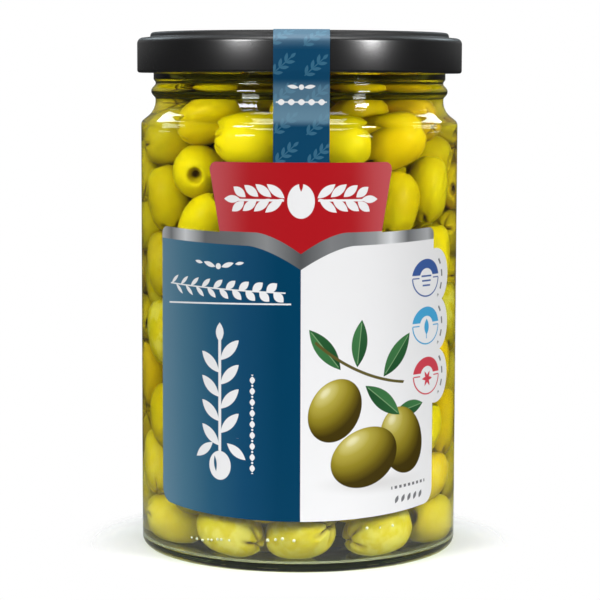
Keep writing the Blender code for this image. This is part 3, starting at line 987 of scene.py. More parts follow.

# %% [markdown]
# ## Bubbles
#
# A few air bubbles cling to the inside of the wall, most of them in a row where the lowest olives bulge
# towards the glass. Each is a ball under a millimetre wide, pale and glossy, which looks like air at this
# size and renders faster than a hollow in the brine: its near-white colour is a painted reflection of the
# light that a bubble throws back. A tree strings them along the wall and shifts each one, with a fixed
# seed.


# %% A tree that strings bubbles along the wall
def bubble_tree():
    inputs = {"Start": "Geometry", "Count": "Int", "First angle": "Float", "Angle step": "Float",
              "Height": "Float", "Reach": "Float", "Radius": "Float", "Seed": "Int", "Finish": "Material"}
    board, wires = new_tree("bubbles on the wall", inputs, "Bubbles")
    _, count, first, step, height, reach, radius, seed, finish = wires
    index = board.node("GeometryNodeInputIndex")

    def shift(low, high, extra):
        values = {2: low, 3: high, 8: seed + extra}
        return board.node("FunctionNodeRandomValue", {"data_type": "FLOAT"}, values, output=1)

    angle = first + step * (index + shift(-0.45, 0.45, 0))
    level = height + shift(-0.5 * MM, 0.5 * MM, 1)
    values = {0: reach * angle.maths("SINE"), 1: -reach * angle.maths("COSINE"), 2: level}
    place = board.node("ShaderNodeCombineXYZ", None, values)
    points = board.node("GeometryNodePoints", None, {"Count": count, "Position": place})
    ball = board.node("GeometryNodeMeshIcoSphere", None, {"Radius": radius, "Subdivisions": 3})
    values = {"Points": points, "Instance": ball, "Scale": shift(0.55, 1.1, 2)}
    shape = board.node("GeometryNodeInstanceOnPoints", None, values)
    shape = board.node("GeometryNodeSetShadeSmooth", None, {"Geometry": shape})
    return tree_end(board, shape, finish)


BUBBLE_TREE = bubble_tree()
report(BUBBLE_TREE.name, BUBBLE_TREE)


# %% String the bubbles
def bubble_finish():
    mat, board = new_finish("air bubble")
    sheen = board.noise(board.place(), 700.0)
    # Painted reflection: near-white colour for the light an air bubble throws back
    colour = board.mix(sheen, screen(232, 234, 214), screen(250, 250, 240))
    values = {"Base Color": colour, "Roughness": 0.08, "Specular IOR Level": 0.8}
    return opaque(mat, board, values)


BUBBLE_RADIUS = 0.42 * MM
AIR = bubble_finish()
# Name, count, first angle and step in degrees, height in mm
BUBBLE_ROWS = (
    ("bubbles_left", 8, -43.5, 2.5, 7.1),
    ("bubbles_middle", 4, -10.5, 3.0, 8.5),
    ("bubbles_right", 3, 27.0, 4.5, 10.4),
)
for number, (name, count, first, step, height) in enumerate(BUBBLE_ROWS):
    inputs = {"Count": count, "First angle": math.radians(first), "Angle step": math.radians(step),
              "Height": height * MM, "Reach": inner_wall - 1.1 * BUBBLE_RADIUS, "Radius": BUBBLE_RADIUS,
              "Seed": number, "Finish": AIR}
    bubbles = grown(name, bpy.data.meshes.new(name), BUBBLE_TREE, inputs)
    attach(bubbles, "root")
print(f"{len(BUBBLE_ROWS)} rows of bubbles")

# %% [markdown]
# ## The middle of the heap
#
# Deep in the jar nothing can be made out but dark green shade. A plain drum stands there, so that no
# light leaks through the heap, and its colour, darker than the olives', is painted shade.

# %% Make the core
CORE_RADIUS = 22.0 * MM
CORE_LOW = 6.0 * MM
CORE_HIGH = 102.0 * MM


def shade_finish():
    mat, board = new_finish("deep olive shade")
    patches = board.noise(board.place(), 90.0, 3.0)
    # Painted shade: dark olive tones for the shade deep in the heap
    colour = board.mix(patches, screen(96, 84, 8), screen(150, 132, 14))
    return opaque(mat, board, {"Base Color": colour, "Roughness": 0.6})


core_profile = [
    (0.0, CORE_LOW, 0),
    (CORE_RADIUS, CORE_LOW, 6 * MM),
    (CORE_RADIUS, CORE_HIGH, 6 * MM),
    (0.0, CORE_HIGH, 0),
]
core = turned("heap_core", rounded(core_profile), shade_finish(), sides=48)
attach(core, "root")
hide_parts("olives")

# %% [markdown]
# ## The cap
#
# A twist-off cap is pressed from tinplate: a raised panel, a lower shoulder ring, a
# straight skirt and a lower edge that is curled inwards, so that no raw edge shows. It
# is turned as a thin shell, like the jar. Its black lacquer is satin: each lamp
# shows as a wide soft patch, and a fine orange-peel bump breaks the patches' edges. The
# shoulder and the panel are more matt, or the lamp above would draw bright lines there.


# %% Cap lacquer
CAP_SHOULDER = LID_TOP - 1.4 * MM


def lacquer_finish():
    mat, board = new_finish("satin black lacquer")
    place = board.place()
    peel = board.noise(place, 2600.0, 2.0)
    handling = board.noise(place, 45.0, 4.0)
    bump = board.bump(peel, 0.10, 0.1 * MM)
    height = board.axes(place)[2]
    upper = height.within(CAP_SHOULDER - 1.2 * MM, CAP_SHOULDER - 0.2 * MM)
    values = {
        "Base Color": board.mix(handling, screen(20, 20, 21), screen(28, 28, 29)),
        "Roughness": 0.23 + 0.07 * handling + 0.35 * upper,
        "IOR": 1.55,
        "Coat Weight": 0.8 - 0.75 * upper,
        "Coat Roughness": 0.27,
        "Normal": bump,
    }
    return opaque(mat, board, values)


# %% Turn the cap
PANEL_RADIUS = 39.5 * MM
TINPLATE = 0.6 * MM
curl_radius = LID_RADIUS - 1.5 * MM
sheet_radius = LID_RADIUS - TINPLATE
panel_foot = PANEL_RADIUS - TINPLATE
outer_face = [
    (0.0, LID_TOP, 0),
    (PANEL_RADIUS - 0.1 * MM, LID_TOP, 0.8 * MM),
    (PANEL_RADIUS + 0.1 * MM, CAP_SHOULDER, 0.5 * MM),
    (LID_RADIUS, CAP_SHOULDER, 1.5 * MM),
    (LID_RADIUS, LID_BOTTOM, 0.72 * MM),
    (curl_radius, LID_BOTTOM, 0.72 * MM),
]
inner_face = [
    (curl_radius, LID_BOTTOM + 1.6 * MM, 0.4 * MM),
    (sheet_radius, LID_BOTTOM + 2.5 * MM, 0.5 * MM),
    (sheet_radius, CAP_SHOULDER - TINPLATE, 0.9 * MM),
    (panel_foot, CAP_SHOULDER - TINPLATE, 0.2 * MM),
    (panel_foot - 0.2 * MM, LID_TOP - TINPLATE, 0.3 * MM),
    (0.0, LID_TOP - TINPLATE, 0),
]
cap = turned("cap", rounded(outer_face + inner_face), lacquer_finish())
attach(cap, "root")
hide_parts("lid")

# %% [markdown]
# ## Printing with shapes
#
# Labels are printed, so their pattern belongs in a material. `Ink` measures the sheet in
# millimetres from its UV map and draws with a few shapes: a disc, a ring, a bar and a
# leaf. Each is a mask from 0 to 1, and masks join with `most`. Since the shapes
# are worked out at each point, the print stays sharp at any size.

# %% Ink
SHEET_SPAN = 120.0
INK_EDGE = 0.09


class Ink:
    """A place on a printed sheet, in millimetres, from which shapes are drawn."""

    def __init__(self, board, x, y):
        self.board = board
        self.x = x
        self.y = y

    def at(self, x, y, turn=0.0):
        """The same sheet, measured from another point and turned by some degrees."""
        a = math.radians(turn)
        dx, dy = self.x - x, self.y - y
        if turn == 0:
            return Ink(self.board, dx, dy)
        along = dx * math.cos(a) + dy * math.sin(a)
        across = dy * math.cos(a) - dx * math.sin(a)
        return Ink(self.board, along, across)

    def mirrored(self):
        """The same sheet, on which what is drawn at x shows at -x too."""
        return Ink(self.board, abs(self.x), self.y)

    def crisp(self, distance):
        """1 where a distance into a shape is positive, with a narrow soft edge."""
        return distance.within(-INK_EDGE, INK_EDGE)

    def out(self, rx, ry):
        """0 in the middle and 1 on an ellipse."""
        return ((self.x / rx) ** 2 + (self.y / ry) ** 2) ** 0.5

    def disc(self, rx, ry=None):
        ry = rx if ry is None else ry
        return self.crisp((1 - self.out(rx, ry)) * min(rx, ry))

    def ring(self, rx, ry, width):
        return self.crisp(0.5 * width - abs((self.out(rx, ry) - 1) * min(rx, ry)))

    def bar(self, length, width):
        return self.crisp((0.5 * length - abs(self.x)).least(0.5 * width - abs(self.y)))

    def leaf(self, length, width):
        """A pointed leaf along x."""
        half = 0.5 * length
        return self.crisp(0.5 * width * (1 - (self.x / half) ** 2) - abs(self.y))

    def repeated(self, pitch):
        """The same sheet, with x starting again at every pitch."""
        return Ink(self.board, self.x.maths("WRAP", 0.5 * pitch, -0.5 * pitch), self.y)


def joined(masks):
    whole = masks[0]
    for mask in masks[1:]:
        whole = whole.most(mask)
    return whole


def sheet_ink(board):
    u, v, _ = board.axes(board.node("ShaderNodeUVMap", {"uv_map": "sheet"}))
    return Ink(board, (u - 0.5) * SHEET_SPAN, v * SHEET_SPAN)


print(f"a sheet's UV map spans {SHEET_SPAN:.0f} mm")


# %% [markdown]
# ## The wrap label
#
# The label is die-cut coated paper: two fields under a curved foil band, a shield that
# stands above them, and a side edge cut into three round lobes. It follows the glass
# exactly, so it is drawn flat as an outline, cut into narrow strips, given the paper's
# thickness, and then wrapped. The flat place is kept as a UV map in millimetres.

# %% Label outline
LABEL_PAPER = 0.2 * MM
SEAL_PAPER = 0.1 * MM
LABEL_LEFT, LABEL_RIGHT, LABEL_AXIS = -41.2 * MM, 40.3 * MM, 0.5 * MM
LABEL_LOW, LABEL_HIGH = 15.3 * MM, 86.8 * MM
LABEL_BOW, LABEL_CORNER, BAND_CORNER, BAND_DIP = 1.8 * MM, 4.0 * MM, 2.0 * MM, 0.6 * MM
SHIELD_TOP, SHIELD_HALF_TOP, SHIELD_HALF_FOOT = 103.8 * MM, 24.3 * MM, 21.1 * MM
SHIELD_CORNER = 1.8 * MM
LOBE_RADIUS, LOBE_AXIS = 7.1 * MM, 41.5 * MM
LOBE_HEIGHTS = (74.2 * MM, 61.7 * MM, 48.3 * MM)


def arc(centre, radius, start, end, steps=12):
    angles = [math.radians(start + (end - start) * i / steps) for i in range(steps + 1)]
    return [(centre[0] + radius * math.cos(a), centre[1] + radius * math.sin(a)) for a in angles]


def lobe_ends(index):
    """Angles at which a lobe's circle leaves the label's side or the next lobe."""
    side = math.degrees(math.acos((LABEL_RIGHT - LOBE_AXIS) / LOBE_RADIUS))

    def meeting(other):
        return math.degrees(math.asin(0.5 * abs(LOBE_HEIGHTS[index] - LOBE_HEIGHTS[other]) / LOBE_RADIUS))

    top = side if index == 0 else meeting(index - 1)
    bottom = side if index == len(LOBE_HEIGHTS) - 1 else meeting(index + 1)
    return -bottom, top


def label_outline():
    """The die-cut edge, anticlockwise from its lower left corner."""
    c, b, s = LABEL_CORNER, BAND_CORNER, SHIELD_CORNER
    points = arc((LABEL_LEFT + c, LABEL_LOW + c), c, 180, 270)
    middle, half = 0.5 * (LABEL_LEFT + LABEL_RIGHT), 0.5 * (LABEL_RIGHT - LABEL_LEFT) - c
    for i in range(1, 40):
        t = i / 20 - 1
        points.append((middle + half * t, LABEL_LOW - LABEL_BOW * (1 - t * t)))
    points += arc((LABEL_RIGHT - c, LABEL_LOW + c), c, 270, 360)
    for i in reversed(range(len(LOBE_HEIGHTS))):
        points += arc((LOBE_AXIS, LOBE_HEIGHTS[i]), LOBE_RADIUS, *lobe_ends(i), 30)
    points += arc((LABEL_RIGHT - b, LABEL_HIGH - b), b, 0, 90)
    points.append((LABEL_AXIS + SHIELD_HALF_FOOT, LABEL_HIGH - BAND_DIP))
    corner = SHIELD_HALF_TOP - s - 0.3 * MM
    points += arc((LABEL_AXIS + corner, SHIELD_TOP - s), s, -8, 90)
    points += arc((LABEL_AXIS - corner, SHIELD_TOP - s), s, 90, 188)
    points.append((LABEL_AXIS - SHIELD_HALF_FOOT, LABEL_HIGH - BAND_DIP))
    points += arc((LABEL_LEFT + b, LABEL_HIGH - b), b, 90, 180)
    return points


print(f"label outline: {len(label_outline())} points")


# %% Cut and wrap the paper
STRIP = 1.2 * MM
CUT_REACH = 50.0 * MM
STUCK = 0.02 * MM


def paper_thickness(bm, thickness):
    """Gives a flat sheet that faces -y its thickness, and a UV map of its flat place."""
    bmesh.ops.reverse_faces(bm, faces=bm.faces[:])
    back_faces = bm.faces[:]
    made = bmesh.ops.extrude_face_region(bm, geom=back_faces)["geom"]
    front = [item for item in made if isinstance(item, bmesh.types.BMVert)]
    bmesh.ops.translate(bm, verts=front, vec=(0, -thickness, 0))
    bmesh.ops.recalc_face_normals(bm, faces=bm.faces[:])
    sheet = bm.loops.layers.uv.new("sheet")
    for face in bm.faces:
        face.material_index = 1 if face.normal.y > 0.5 else 0
        for loop in face.loops:
            place = loop.vert.co / (SHEET_SPAN * MM)
            loop[sheet].uv = (place.x + 0.5, place.z)


def paper_piece(name, bm, finishes):
    mesh = bpy.data.meshes.new(name)
    bm.to_mesh(mesh)
    bm.free()
    for finish in finishes:
        mesh.materials.append(finish)
    mesh.shade_smooth()
    mesh.set_sharp_from_angle(angle=math.radians(40))
    ob = bpy.data.objects.new(name, mesh)
    bpy.context.scene.collection.objects.link(ob)
    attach(ob, "root")
    print(f"{name}: {len(mesh.polygons)} faces")
    return ob


def cut_label():
    bm = bmesh.new()
    bm.faces.new([bm.verts.new((s, 0.0, z)) for s, z in label_outline()])
    cuts = math.ceil(CUT_REACH / STRIP)
    for k in range(-cuts, cuts + 1):
        everything = bm.verts[:] + bm.edges[:] + bm.faces[:]
        place = (k * STRIP, 0, 0)
        bmesh.ops.bisect_plane(bm, geom=everything, plane_co=place, plane_no=(1, 0, 0), dist=1e-7)
    paper_thickness(bm, LABEL_PAPER)
    for vert in bm.verts:
        turn = vert.co.x / BODY_RADIUS
        reach = BODY_RADIUS + STUCK - vert.co.y
        vert.co = (reach * math.sin(turn), -reach * math.cos(turn), vert.co.z)
    return bm


# %% [markdown]
# ## What the label shows
#
# The print keeps the real label's fields, colours and amounts of white, with motifs that any olive label
# could carry. A blue field darkens to the right, a white field holds a painted olive twig, a red shield
# carries an emblem of leaves, and a metallic band runs between, with soft stripes of painted reflection.
# Small rings with a filled upper half sit in the lobes.


# %% Fields and band
PAPER_WHITE = screen(240, 240, 241)
# The blue lightens towards the left edge: partly print, partly a painted sheen of the left lamp on the
# label's curve
BLUE_STOPS = (
    (0.0, screen(104, 139, 160)),
    (0.25, screen(74, 118, 142)),
    (0.5, screen(40, 92, 122)),
    (0.75, screen(14, 72, 108)),
    (1.0, screen(0, 62, 95)),
)
# Place in millimetres from the sheet's middle, and grey, of the foil's soft stripes, which are painted
# reflections
FOIL_REFLECTION_STRIPES = (
    (-41, 190), (-37, 120), (-31.5, 222), (-25, 108), (-15, 104), (-8, 140), (0.5, 82), (8, 128),
    (14, 116), (20, 150), (24.4, 226), (30, 112), (37.5, 188), (40.3, 124),
)
FOIL_HALF = 42


def label_fields(board, ink):
    """The plain fields of colour, and the mask of the metallic band."""
    s, z = ink.x, ink.y
    off = abs(s - LABEL_AXIS / MM)

    def dip(reach):
        return (1 - off / reach).most(0) ** 1.6

    band_top = 86.15 + 0.017 * off - 5.1 * dip(11.5)
    band_low = 83.0 + 0.03 * (off - 14) - 5.5 * dip(13.5)
    across = (s - LABEL_LEFT / MM) / 36
    blue = board.node("ShaderNodeValToRGB", {"stops": BLUE_STOPS}, {0: across})
    colour = board.mix(ink.crisp(s - LABEL_AXIS / MM), blue, PAPER_WHITE)
    # The foil's grey stripes are painted reflections
    stops = [((place + FOIL_HALF) / (2 * FOIL_HALF), screen(grey + 10, grey + 12, grey + 14))
             for place, grey in FOIL_REFLECTION_STRIPES]
    foil = board.node("ShaderNodeValToRGB", {"stops": stops}, {0: (s + FOIL_HALF) / (2 * FOIL_HALF)})
    band = ink.crisp(z - band_low)
    colour = board.mix(band, colour, foil)
    shield = ink.crisp(z - band_top)
    red = board.mix(off.within(12, 25) * 0.75, screen(177, 24, 32), screen(206, 98, 104))
    colour = board.mix(shield, colour, red)
    return colour, band * (1 - shield)


# %% The emblem on the shield
def leafy_emblem(ink):
    """A round fruit with a leafy sprig to each side, in white."""
    middle = ink.at(LABEL_AXIS / MM, 94.2)
    mirrored = middle.mirrored()
    shapes = [middle.disc(3.4, 4.3)]
    for k in range(4):
        x = 6.3 + 3.1 * k
        y = 0.9 - 0.10 * (k - 1) ** 2
        size = 5.6 - 0.5 * k
        shapes.append(mirrored.at(x, y + 1.7, 38).leaf(size, 2.1))
        shapes.append(mirrored.at(x + 0.4, y - 1.9, -38).leaf(size, 2.1))
    shapes.append(mirrored.at(17.6, 0.4).leaf(4.4, 1.9))
    shapes.append(mirrored.at(10.5, 0.2).bar(12.5, 0.55))
    seam = mirrored.at(0, 4.2, 90).leaf(3.6, 1.0)
    return joined(shapes) * (1 - seam)


# %% Pale ornaments on the blue field
def blue_ornaments(ink):
    """A small crest, and a leafy line over a thin rule."""
    crest = ink.at(-21.0, 77.6)
    pair = crest.mirrored()
    shapes = [crest.disc(0.75)]
    shapes += [pair.at(2.6, 0.4, 18).leaf(3.6, 1.2), pair.at(5.9, 0.9, 10).leaf(2.4, 0.8)]

    row = ink.at(-20.3, 71.9, -2.0)
    weight = row.x.within(-16, 17)
    for side in (1, -1):
        tile = Ink(ink.board, row.x + 0.9 * side, row.y * side).repeated(3.6)
        turned_tile = tile.at(0.0, 1.15, 42)
        full = 0.45 + 0.65 * weight
        lens = full * (1 - (turned_tile.x / 1.75) ** 2) - abs(turned_tile.y)
        shapes.append(ink.crisp(lens) * ink.crisp(16.2 - abs(row.x + 0.9 * side)))
    shapes.append(row.bar(34.0, 0.34))

    drop = (ink.x + 1.9) / 36
    rule = ink.y - (68.5 - 1.04 * drop * drop)
    shapes.append(ink.crisp(0.2 - abs(rule)) * ink.crisp(18.0 - abs(ink.x + 19.9)))
    return shapes


def tall_sprig(ink):
    """A stem with leaves to both sides, and a fruit between two leaves at its foot."""
    stem = ink.at(-20.6, 42.0, 90)
    fruit = stem.at(-15.0, 0.0).disc(3.7, 3.1) * (1 - stem.at(-14.6, 1.3, 6).leaf(4.0, 0.8))
    shapes = [stem.at(2.6, 0.0).bar(29.8, 0.8), fruit]
    for side in (1, -1):
        shifted = stem.x + 1.6 * side
        leafy = ink.crisp(12.4 - abs(shifted - 3.1))
        tile = Ink(ink.board, shifted, stem.y * side).repeated(6.2)
        shapes.append(tile.at(0.55, 2.75, 44).leaf(7.4, 2.6) * leafy)
        shapes.append(stem.at(-11.2, 4.6 * side, -52 * side).leaf(6.4, 2.3))
    shapes.append(stem.at(18.9, 0.0).leaf(5.0, 2.2))
    return shapes


def dotted_line(ink):
    line = ink.at(-11.7, 38.0, 90)
    tile = line.repeated(2.8)
    length = ink.crisp(12.6 - abs(line.x))
    return [tile.leaf(1.9, 1.35) * length, tile.mirrored().at(1.4, 0).disc(0.28) * length]


# %% [markdown]
# ## Painting olives
#
# The white field carries a painted twig with whole olives. Each olive is an ellipse
# shaded as if it were round: its own place gives the slope of a ball, and the slope
# gives the light. Leaves are lens shapes with a pale rib and a darker lower half.

# %% Painted twig
OLIVE_PAINT = [
    (0.0, screen(66, 54, 10)),
    (0.3, screen(104, 90, 18)),
    (0.62, screen(146, 132, 36)),
    (0.86, screen(178, 164, 66)),
    (0.97, screen(206, 196, 116)),
    (1.0, screen(232, 226, 176)),
]
PAINT_LIGHT = Vector((-0.45, 0.62, 0.64)).normalized()
LEAF_DARK, LEAF_BRIGHT, LEAF_RIB = screen(26, 74, 40), screen(70, 128, 76), screen(142, 182, 132)
TWIG = screen(96, 88, 44)


def painted_olive(board, colour, ink, turn, rx, ry):
    """Lays a shaded olive over a colour. The light comes from the upper left."""
    x, y = ink.x / rx, ink.y / ry
    bulge = (1 - x**2 - y**2).most(0) ** 0.5
    a = math.radians(turn)
    light_x = PAINT_LIGHT.x * math.cos(a) + PAINT_LIGHT.y * math.sin(a)
    light_y = PAINT_LIGHT.y * math.cos(a) - PAINT_LIGHT.x * math.sin(a)
    lit = (x * light_x + y * light_y + bulge * PAINT_LIGHT.z).most(0)
    paint = board.node("ShaderNodeValToRGB", {"stops": OLIVE_PAINT}, {0: lit})
    return board.mix(ink.disc(rx, ry), colour, paint)


def painted_leaf(board, colour, ink, length, width):
    above = ink.y.within(-0.15, 0.15)
    green = board.mix(above * 0.55 + (ink.x / length + 0.5) * 0.35, LEAF_DARK, LEAF_BRIGHT)
    green = board.mix(ink.bar(length * 0.86, 0.22) * 0.7, green, LEAF_RIB)
    return board.mix(ink.leaf(length, width), colour, green)


# Place on the sheet in mm and turn in degrees, then length and width of a leaf, or the
# two half widths of an olive
LEAVES_BEHIND = ((6.6, 57.0, 128, 13.0, 4.4), (26.6, 55.0, 52, 13.5, 4.6), (31.0, 41.0, 10, 10.0, 3.8))
LEAVES_IN_FRONT = ((15.6, 58.4, 84, 12.0, 4.2), (22.4, 43.6, -38, 13.0, 4.6))
PAINTED_OLIVES = ((9.3, 41.6, 62, 8.4, 6.5), (28.6, 33.0, 108, 8.8, 6.9), (17.4, 29.4, 24, 9.6, 7.3))


def painted_twig(board, colour, ink):
    shadow = 1 - ink.at(20.0, 22.6).out(19, 3.4).within(0.0, 1.0)
    colour = board.mix(shadow * 0.22, colour, screen(120, 112, 96))
    for x, y, turn, length, width in LEAVES_BEHIND:
        colour = painted_leaf(board, colour, ink.at(x, y, turn), length, width)
    twig = ink.at(15.6, 51.4, -24)
    bend = Ink(ink.board, twig.x, twig.y - 0.012 * twig.x * twig.x)
    colour = board.mix(bend.bar(27.0, 0.75), colour, TWIG)
    for x, y, turn, rx, ry in PAINTED_OLIVES:
        colour = painted_olive(board, colour, ink.at(x, y, turn), turn, rx, ry)
    for x, y, turn, length, width in LEAVES_IN_FRONT:
        colour = painted_leaf(board, colour, ink.at(x, y, turn), length, width)
    return colour


# %% Rings in the lobes, and small marks
BADGE_INKS = (screen(64, 96, 160), screen(74, 168, 216), screen(210, 70, 84))
BADGE_PLACES = ((37.2, 73.9), (37.4, 61.6), (37.8, 48.6))
SMALL_PRINT = screen(70, 72, 78)


def badge(ink, number):
    """A ring with a filled upper half, a pale bay in it, and a simple sign."""
    rim = ink.ring(5.5, 4.7, 0.36) * (1 - ink.at(0, 0.35).bar(14.0, 0.8))
    bay = 1 - ink.at(0, 0.2).disc(2.7, 2.3)
    cap = ink.disc(5.5, 4.7) * ink.crisp(ink.y - 0.75) * bay
    ledge = ink.bar(11.0, 0.3) * (1 - ink.bar(5.8, 1.0))
    if number == 0:
        sign = joined([ink.at(0, y).bar(4.2 - 0.5 * k, 0.42) for k, y in enumerate((0.5, -0.7, -1.9))])
    elif number == 1:
        sign = joined([ink.at(0, -0.3, 90).leaf(4.2, 1.9), ink.at(0, -2.6, 90).bar(1.4, 0.3)])
    else:
        sign = joined([ink.at(0, -0.7, turn).leaf(4.4, 1.1) for turn in (0, 60, 120)])
    return joined([rim, cap, ledge, sign])


def small_marks(ink):
    """Fine dashes beside the rings, and two rows at the label's foot."""
    shapes = []
    for x, y in BADGE_PLACES:
        edge_place = ink.at(x, y)
        turn = edge_place.y.maths("ARCTAN2", edge_place.x)
        dash = (turn * 14).maths("SINE").within(-0.3, 0.2)
        beside = ink.crisp(0.75 - abs(turn)) * ink.crisp(0.32 - abs((edge_place.out(7.6, 6.9) - 1) * 7))
        shapes.append(dash * beside)
    foot = ink.at(31.0, 21.2, 3.5)
    shapes.append(foot.repeated(1.5).bar(0.8, 0.75) * ink.crisp(6.0 - abs(foot.x)))
    foot = ink.at(31.0, 18.0, 3.5)
    row = foot.repeated(2.1).at(0, 0, 60).leaf(2.2, 1.0)
    shapes.append(row * ink.crisp(5.25 - abs(foot.x)))
    return joined(shapes)


# %% Label finish
def label_finish():
    mat, board = new_finish("printed label")
    ink = sheet_ink(board)
    colour, band = label_fields(board, ink)
    colour = board.mix(leafy_emblem(ink), colour, PAPER_WHITE)
    left_side = ink.crisp(LABEL_AXIS / MM - ink.x)
    ornaments = joined(blue_ornaments(ink) + tall_sprig(ink) + dotted_line(ink))
    colour = board.mix(ornaments * left_side * (1 - band), colour, PAPER_WHITE)
    painted = painted_twig(board, colour, ink)
    colour = board.mix(1 - left_side, colour, painted)
    for number, (place, paint) in enumerate(zip(BADGE_PLACES, BADGE_INKS)):
        colour = board.mix(badge(ink.at(*place), number), colour, paint)
    colour = board.mix(small_marks(ink) * 0.85, colour, SMALL_PRINT)
    fibre = board.noise(board.place(), 1500.0, 3.0)
    values = {
        "Base Color": colour,
        "Metallic": band * 0.22,
        "Roughness": 0.32 - band * 0.04 + fibre * 0.05,
        "Specular IOR Level": 0.12,
        "Normal": board.bump(fibre, 0.06, 0.1 * MM),
    }
    return opaque(mat, board, values)


def bare_paper():
    mat, board = new_finish("bare paper")
    fibre = board.noise(board.place(), 900.0, 4.0)
    colour = board.mix(fibre, screen(224, 223, 216), screen(240, 239, 235))
    return opaque(mat, board, {"Base Color": colour, "Roughness": 0.7})


# %% Make the label
BARE_PAPER = bare_paper()
label = paper_piece("label_paper", cut_label(), [label_finish(), BARE_PAPER])
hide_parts("front_label")

# %% [markdown]
# ## The paper seal
#
# A strip of blue paper is stuck over the cap and down to the label, so that it tears
# when the jar is first opened. It lies on the panel, bends over the cap's edge, crosses
# the gap beside the neck in the air, and lands on the shoulder. Its route is a smooth
# path, and its width follows the round of the cap and the jar.

# %% Lay the seal
STRAP_WIDTH, STRAP_SHIFT, STRAP_REACH = 14.0 * MM, 0.5 * MM, 12.0 * MM
LIFT = 0.05 * MM
SEAL_COLUMNS = 24
SHOULDER_START = 111.2 * MM


def seal_route():
    """(reach, height) of the seal's inner face, from the cap's middle to the label."""
    top = LID_TOP + LIFT
    skirt = LID_RADIUS + LIFT
    wall = BODY_RADIUS + STUCK
    corners = [
        (STRAP_REACH, top, 0),
        (PANEL_RADIUS - 0.2 * MM, top, 1.0 * MM),
        (LID_RADIUS - 0.9 * MM, CAP_SHOULDER + 0.12 * MM, 1.2 * MM),
        (skirt, CAP_SHOULDER - 1.0 * MM, 1.4 * MM),
        (skirt, LID_BOTTOM + 0.4 * MM, 8.0 * MM),
        (wall + 0.35 * MM, LID_BOTTOM - 7.0 * MM, 20.0 * MM),
        (wall, SHOULDER_START + 1.0 * MM, 12.0 * MM),
        (wall, SHIELD_TOP - 0.6 * MM, 0),
    ]
    return rounded(corners, steps=8)


def lay_seal():
    bm = bmesh.new()
    sheet = bm.loops.layers.uv.new("sheet")
    route = [Vector(point) for point in seal_route()]
    run = [0.0]
    for before, after in zip(route, route[1:]):
        run.append(run[-1] + (after - before).length)
    layers = []
    for depth in (0.0, SEAL_PAPER):
        rows = []
        for i, point in enumerate(route):
            ahead = (route[min(i + 1, len(route) - 1)] - route[max(i - 1, 0)]).normalized()
            reach, height = point + Vector((-ahead.y, ahead.x)) * depth
            bend = min(max((reach - 0.85 * LID_RADIUS) / (0.1 * LID_RADIUS), 0.0), 1.0)
            row = []
            for j in range(SEAL_COLUMNS + 1):
                x = STRAP_WIDTH * (j / SEAL_COLUMNS - 0.5) + STRAP_SHIFT
                sag = reach - math.sqrt(reach**2 - x**2)
                row.append(bm.verts.new((x, -(reach - bend * sag), height)))
            rows.append(row)
        layers.append(rows)
    inner, outer = layers
    last, edge = len(route) - 1, SEAL_COLUMNS

    def add(corners, places, finish):
        face = bm.faces.new(corners)
        face.material_index = finish
        for loop, (i, j) in zip(face.loops, places):
            across = STRAP_WIDTH * (j / SEAL_COLUMNS - 0.5) / (SHEET_SPAN * MM)
            loop[sheet].uv = (across + 0.5, run[i] / (SHEET_SPAN * MM))

    for i in range(last):
        for j in range(edge):
            places = [(i, j), (i + 1, j), (i + 1, j + 1), (i, j + 1)]
            add([outer[a][b] for a, b in places], places, 0)
            places = places[::-1]
            add([inner[a][b] for a, b in places], places, 1)
    for i in range(last):
        for j in (0, edge):
            places = [(i, j), (i + 1, j), (i + 1, j), (i, j)]
            add([inner[i][j], inner[i + 1][j], outer[i + 1][j], outer[i][j]], places, 0)
    for j in range(edge):
        for i in (0, last):
            places = [(i, j), (i, j + 1), (i, j + 1), (i, j)]
            add([inner[i][j], inner[i][j + 1], outer[i][j + 1], outer[i][j]], places, 0)
    bmesh.ops.recalc_face_normals(bm, faces=bm.faces[:])
    return bm


# %% [markdown]
# ## The seal's print
#
# The strip is dark blue with slanting rows of small paler sprigs, and a white ornament hangs below the
# cap. The rows come from one sprig that starts again at every step. Where the paper bends over the cap's
# edge and where it spans the gap beside the neck, a paler colour is mixed in by distance along the strip:
# this is a painted sheen, for the lamps' light on those two zones.

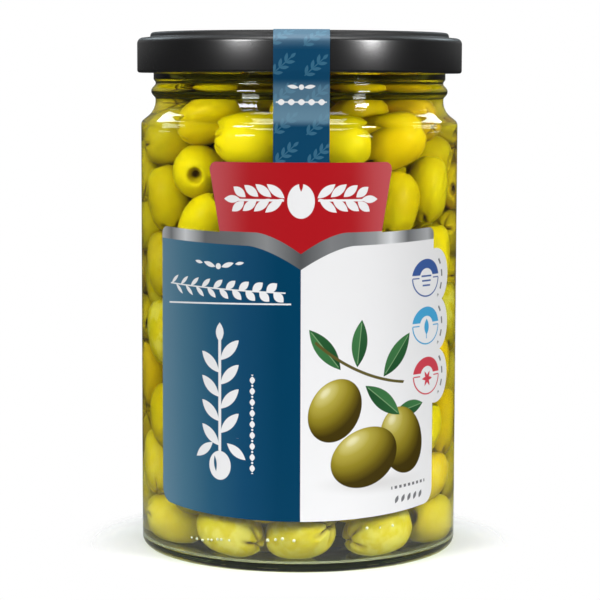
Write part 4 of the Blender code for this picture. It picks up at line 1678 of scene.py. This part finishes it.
# %% Seal finish
SEAL_BLUE = screen(8, 67, 101)
SEAL_PALE = screen(58, 110, 138)
# Pale colour of a painted sheen where the strip bends and where it spans the gap
SEAL_PAINTED_SHEEN = screen(122, 160, 180)
SEAL_ORNAMENT = 43.6
ROW_PITCH = 5.6
SPRIG_PITCH = 10.4


def small_sprig(ink):
    """A little stem with three pairs of leaves."""
    pair = Ink(ink.board, ink.x, abs(ink.y))
    shapes = [ink.bar(6.4, 0.28)]
    shapes += [pair.at(x, 0.75, 36).leaf(2.4, 0.85) for x in (-1.9, 0.1, 2.1)]
    return joined(shapes + [ink.at(3.7, 0).leaf(1.8, 0.8)])


def seal_finish():
    mat, board = new_finish("printed seal")
    ink = sheet_ink(board)
    slant = ink.at(0.0, 0.0, -42)
    row = (slant.y / ROW_PITCH).maths("FLOOR")
    across = slant.y - (row + 0.5) * ROW_PITCH
    sprigs = small_sprig(Ink(board, slant.x + row * 4.7, across).repeated(SPRIG_PITCH))
    colour = board.mix(sprigs * 0.85, SEAL_BLUE, SEAL_PALE)
    ornament = ink.at(0.0, SEAL_ORNAMENT)
    white = [ornament.disc(0.65), ornament.mirrored().at(2.1, -0.1, -8).leaf(2.8, 0.95)]
    below = ornament.at(0.0, 3.7).mirrored()
    white += [below.repeated(2.5).leaf(1.9, 1.5) * ink.crisp(6.2 - below.x), below.bar(12.6, 0.3)]
    run = ink.y
    # Painted sheen: a paler colour over the bend at the cap's edge and over the span beside the neck
    bend = run.within(24.0, 27.0) * (1 - run.within(30.0, 34.5))
    span_sheen = run.within(41.4, 44.4) * (1 - run.within(51.4, 53.6)) * (0.4 + 0.25 * run.within(45.0, 51.0))
    colour = board.mix(span_sheen + 0.45 * bend, colour, SEAL_PAINTED_SHEEN)
    colour = board.mix(joined(white), colour, PAPER_WHITE)
    values = {"Base Color": colour, "Roughness": 0.27 + 0.3 * bend, "Specular IOR Level": 0.5}
    return opaque(mat, board, values)


# %% Make the seal
seal = paper_piece("seal_paper", lay_seal(), [seal_finish(), BARE_PAPER])
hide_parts("seal_strap")
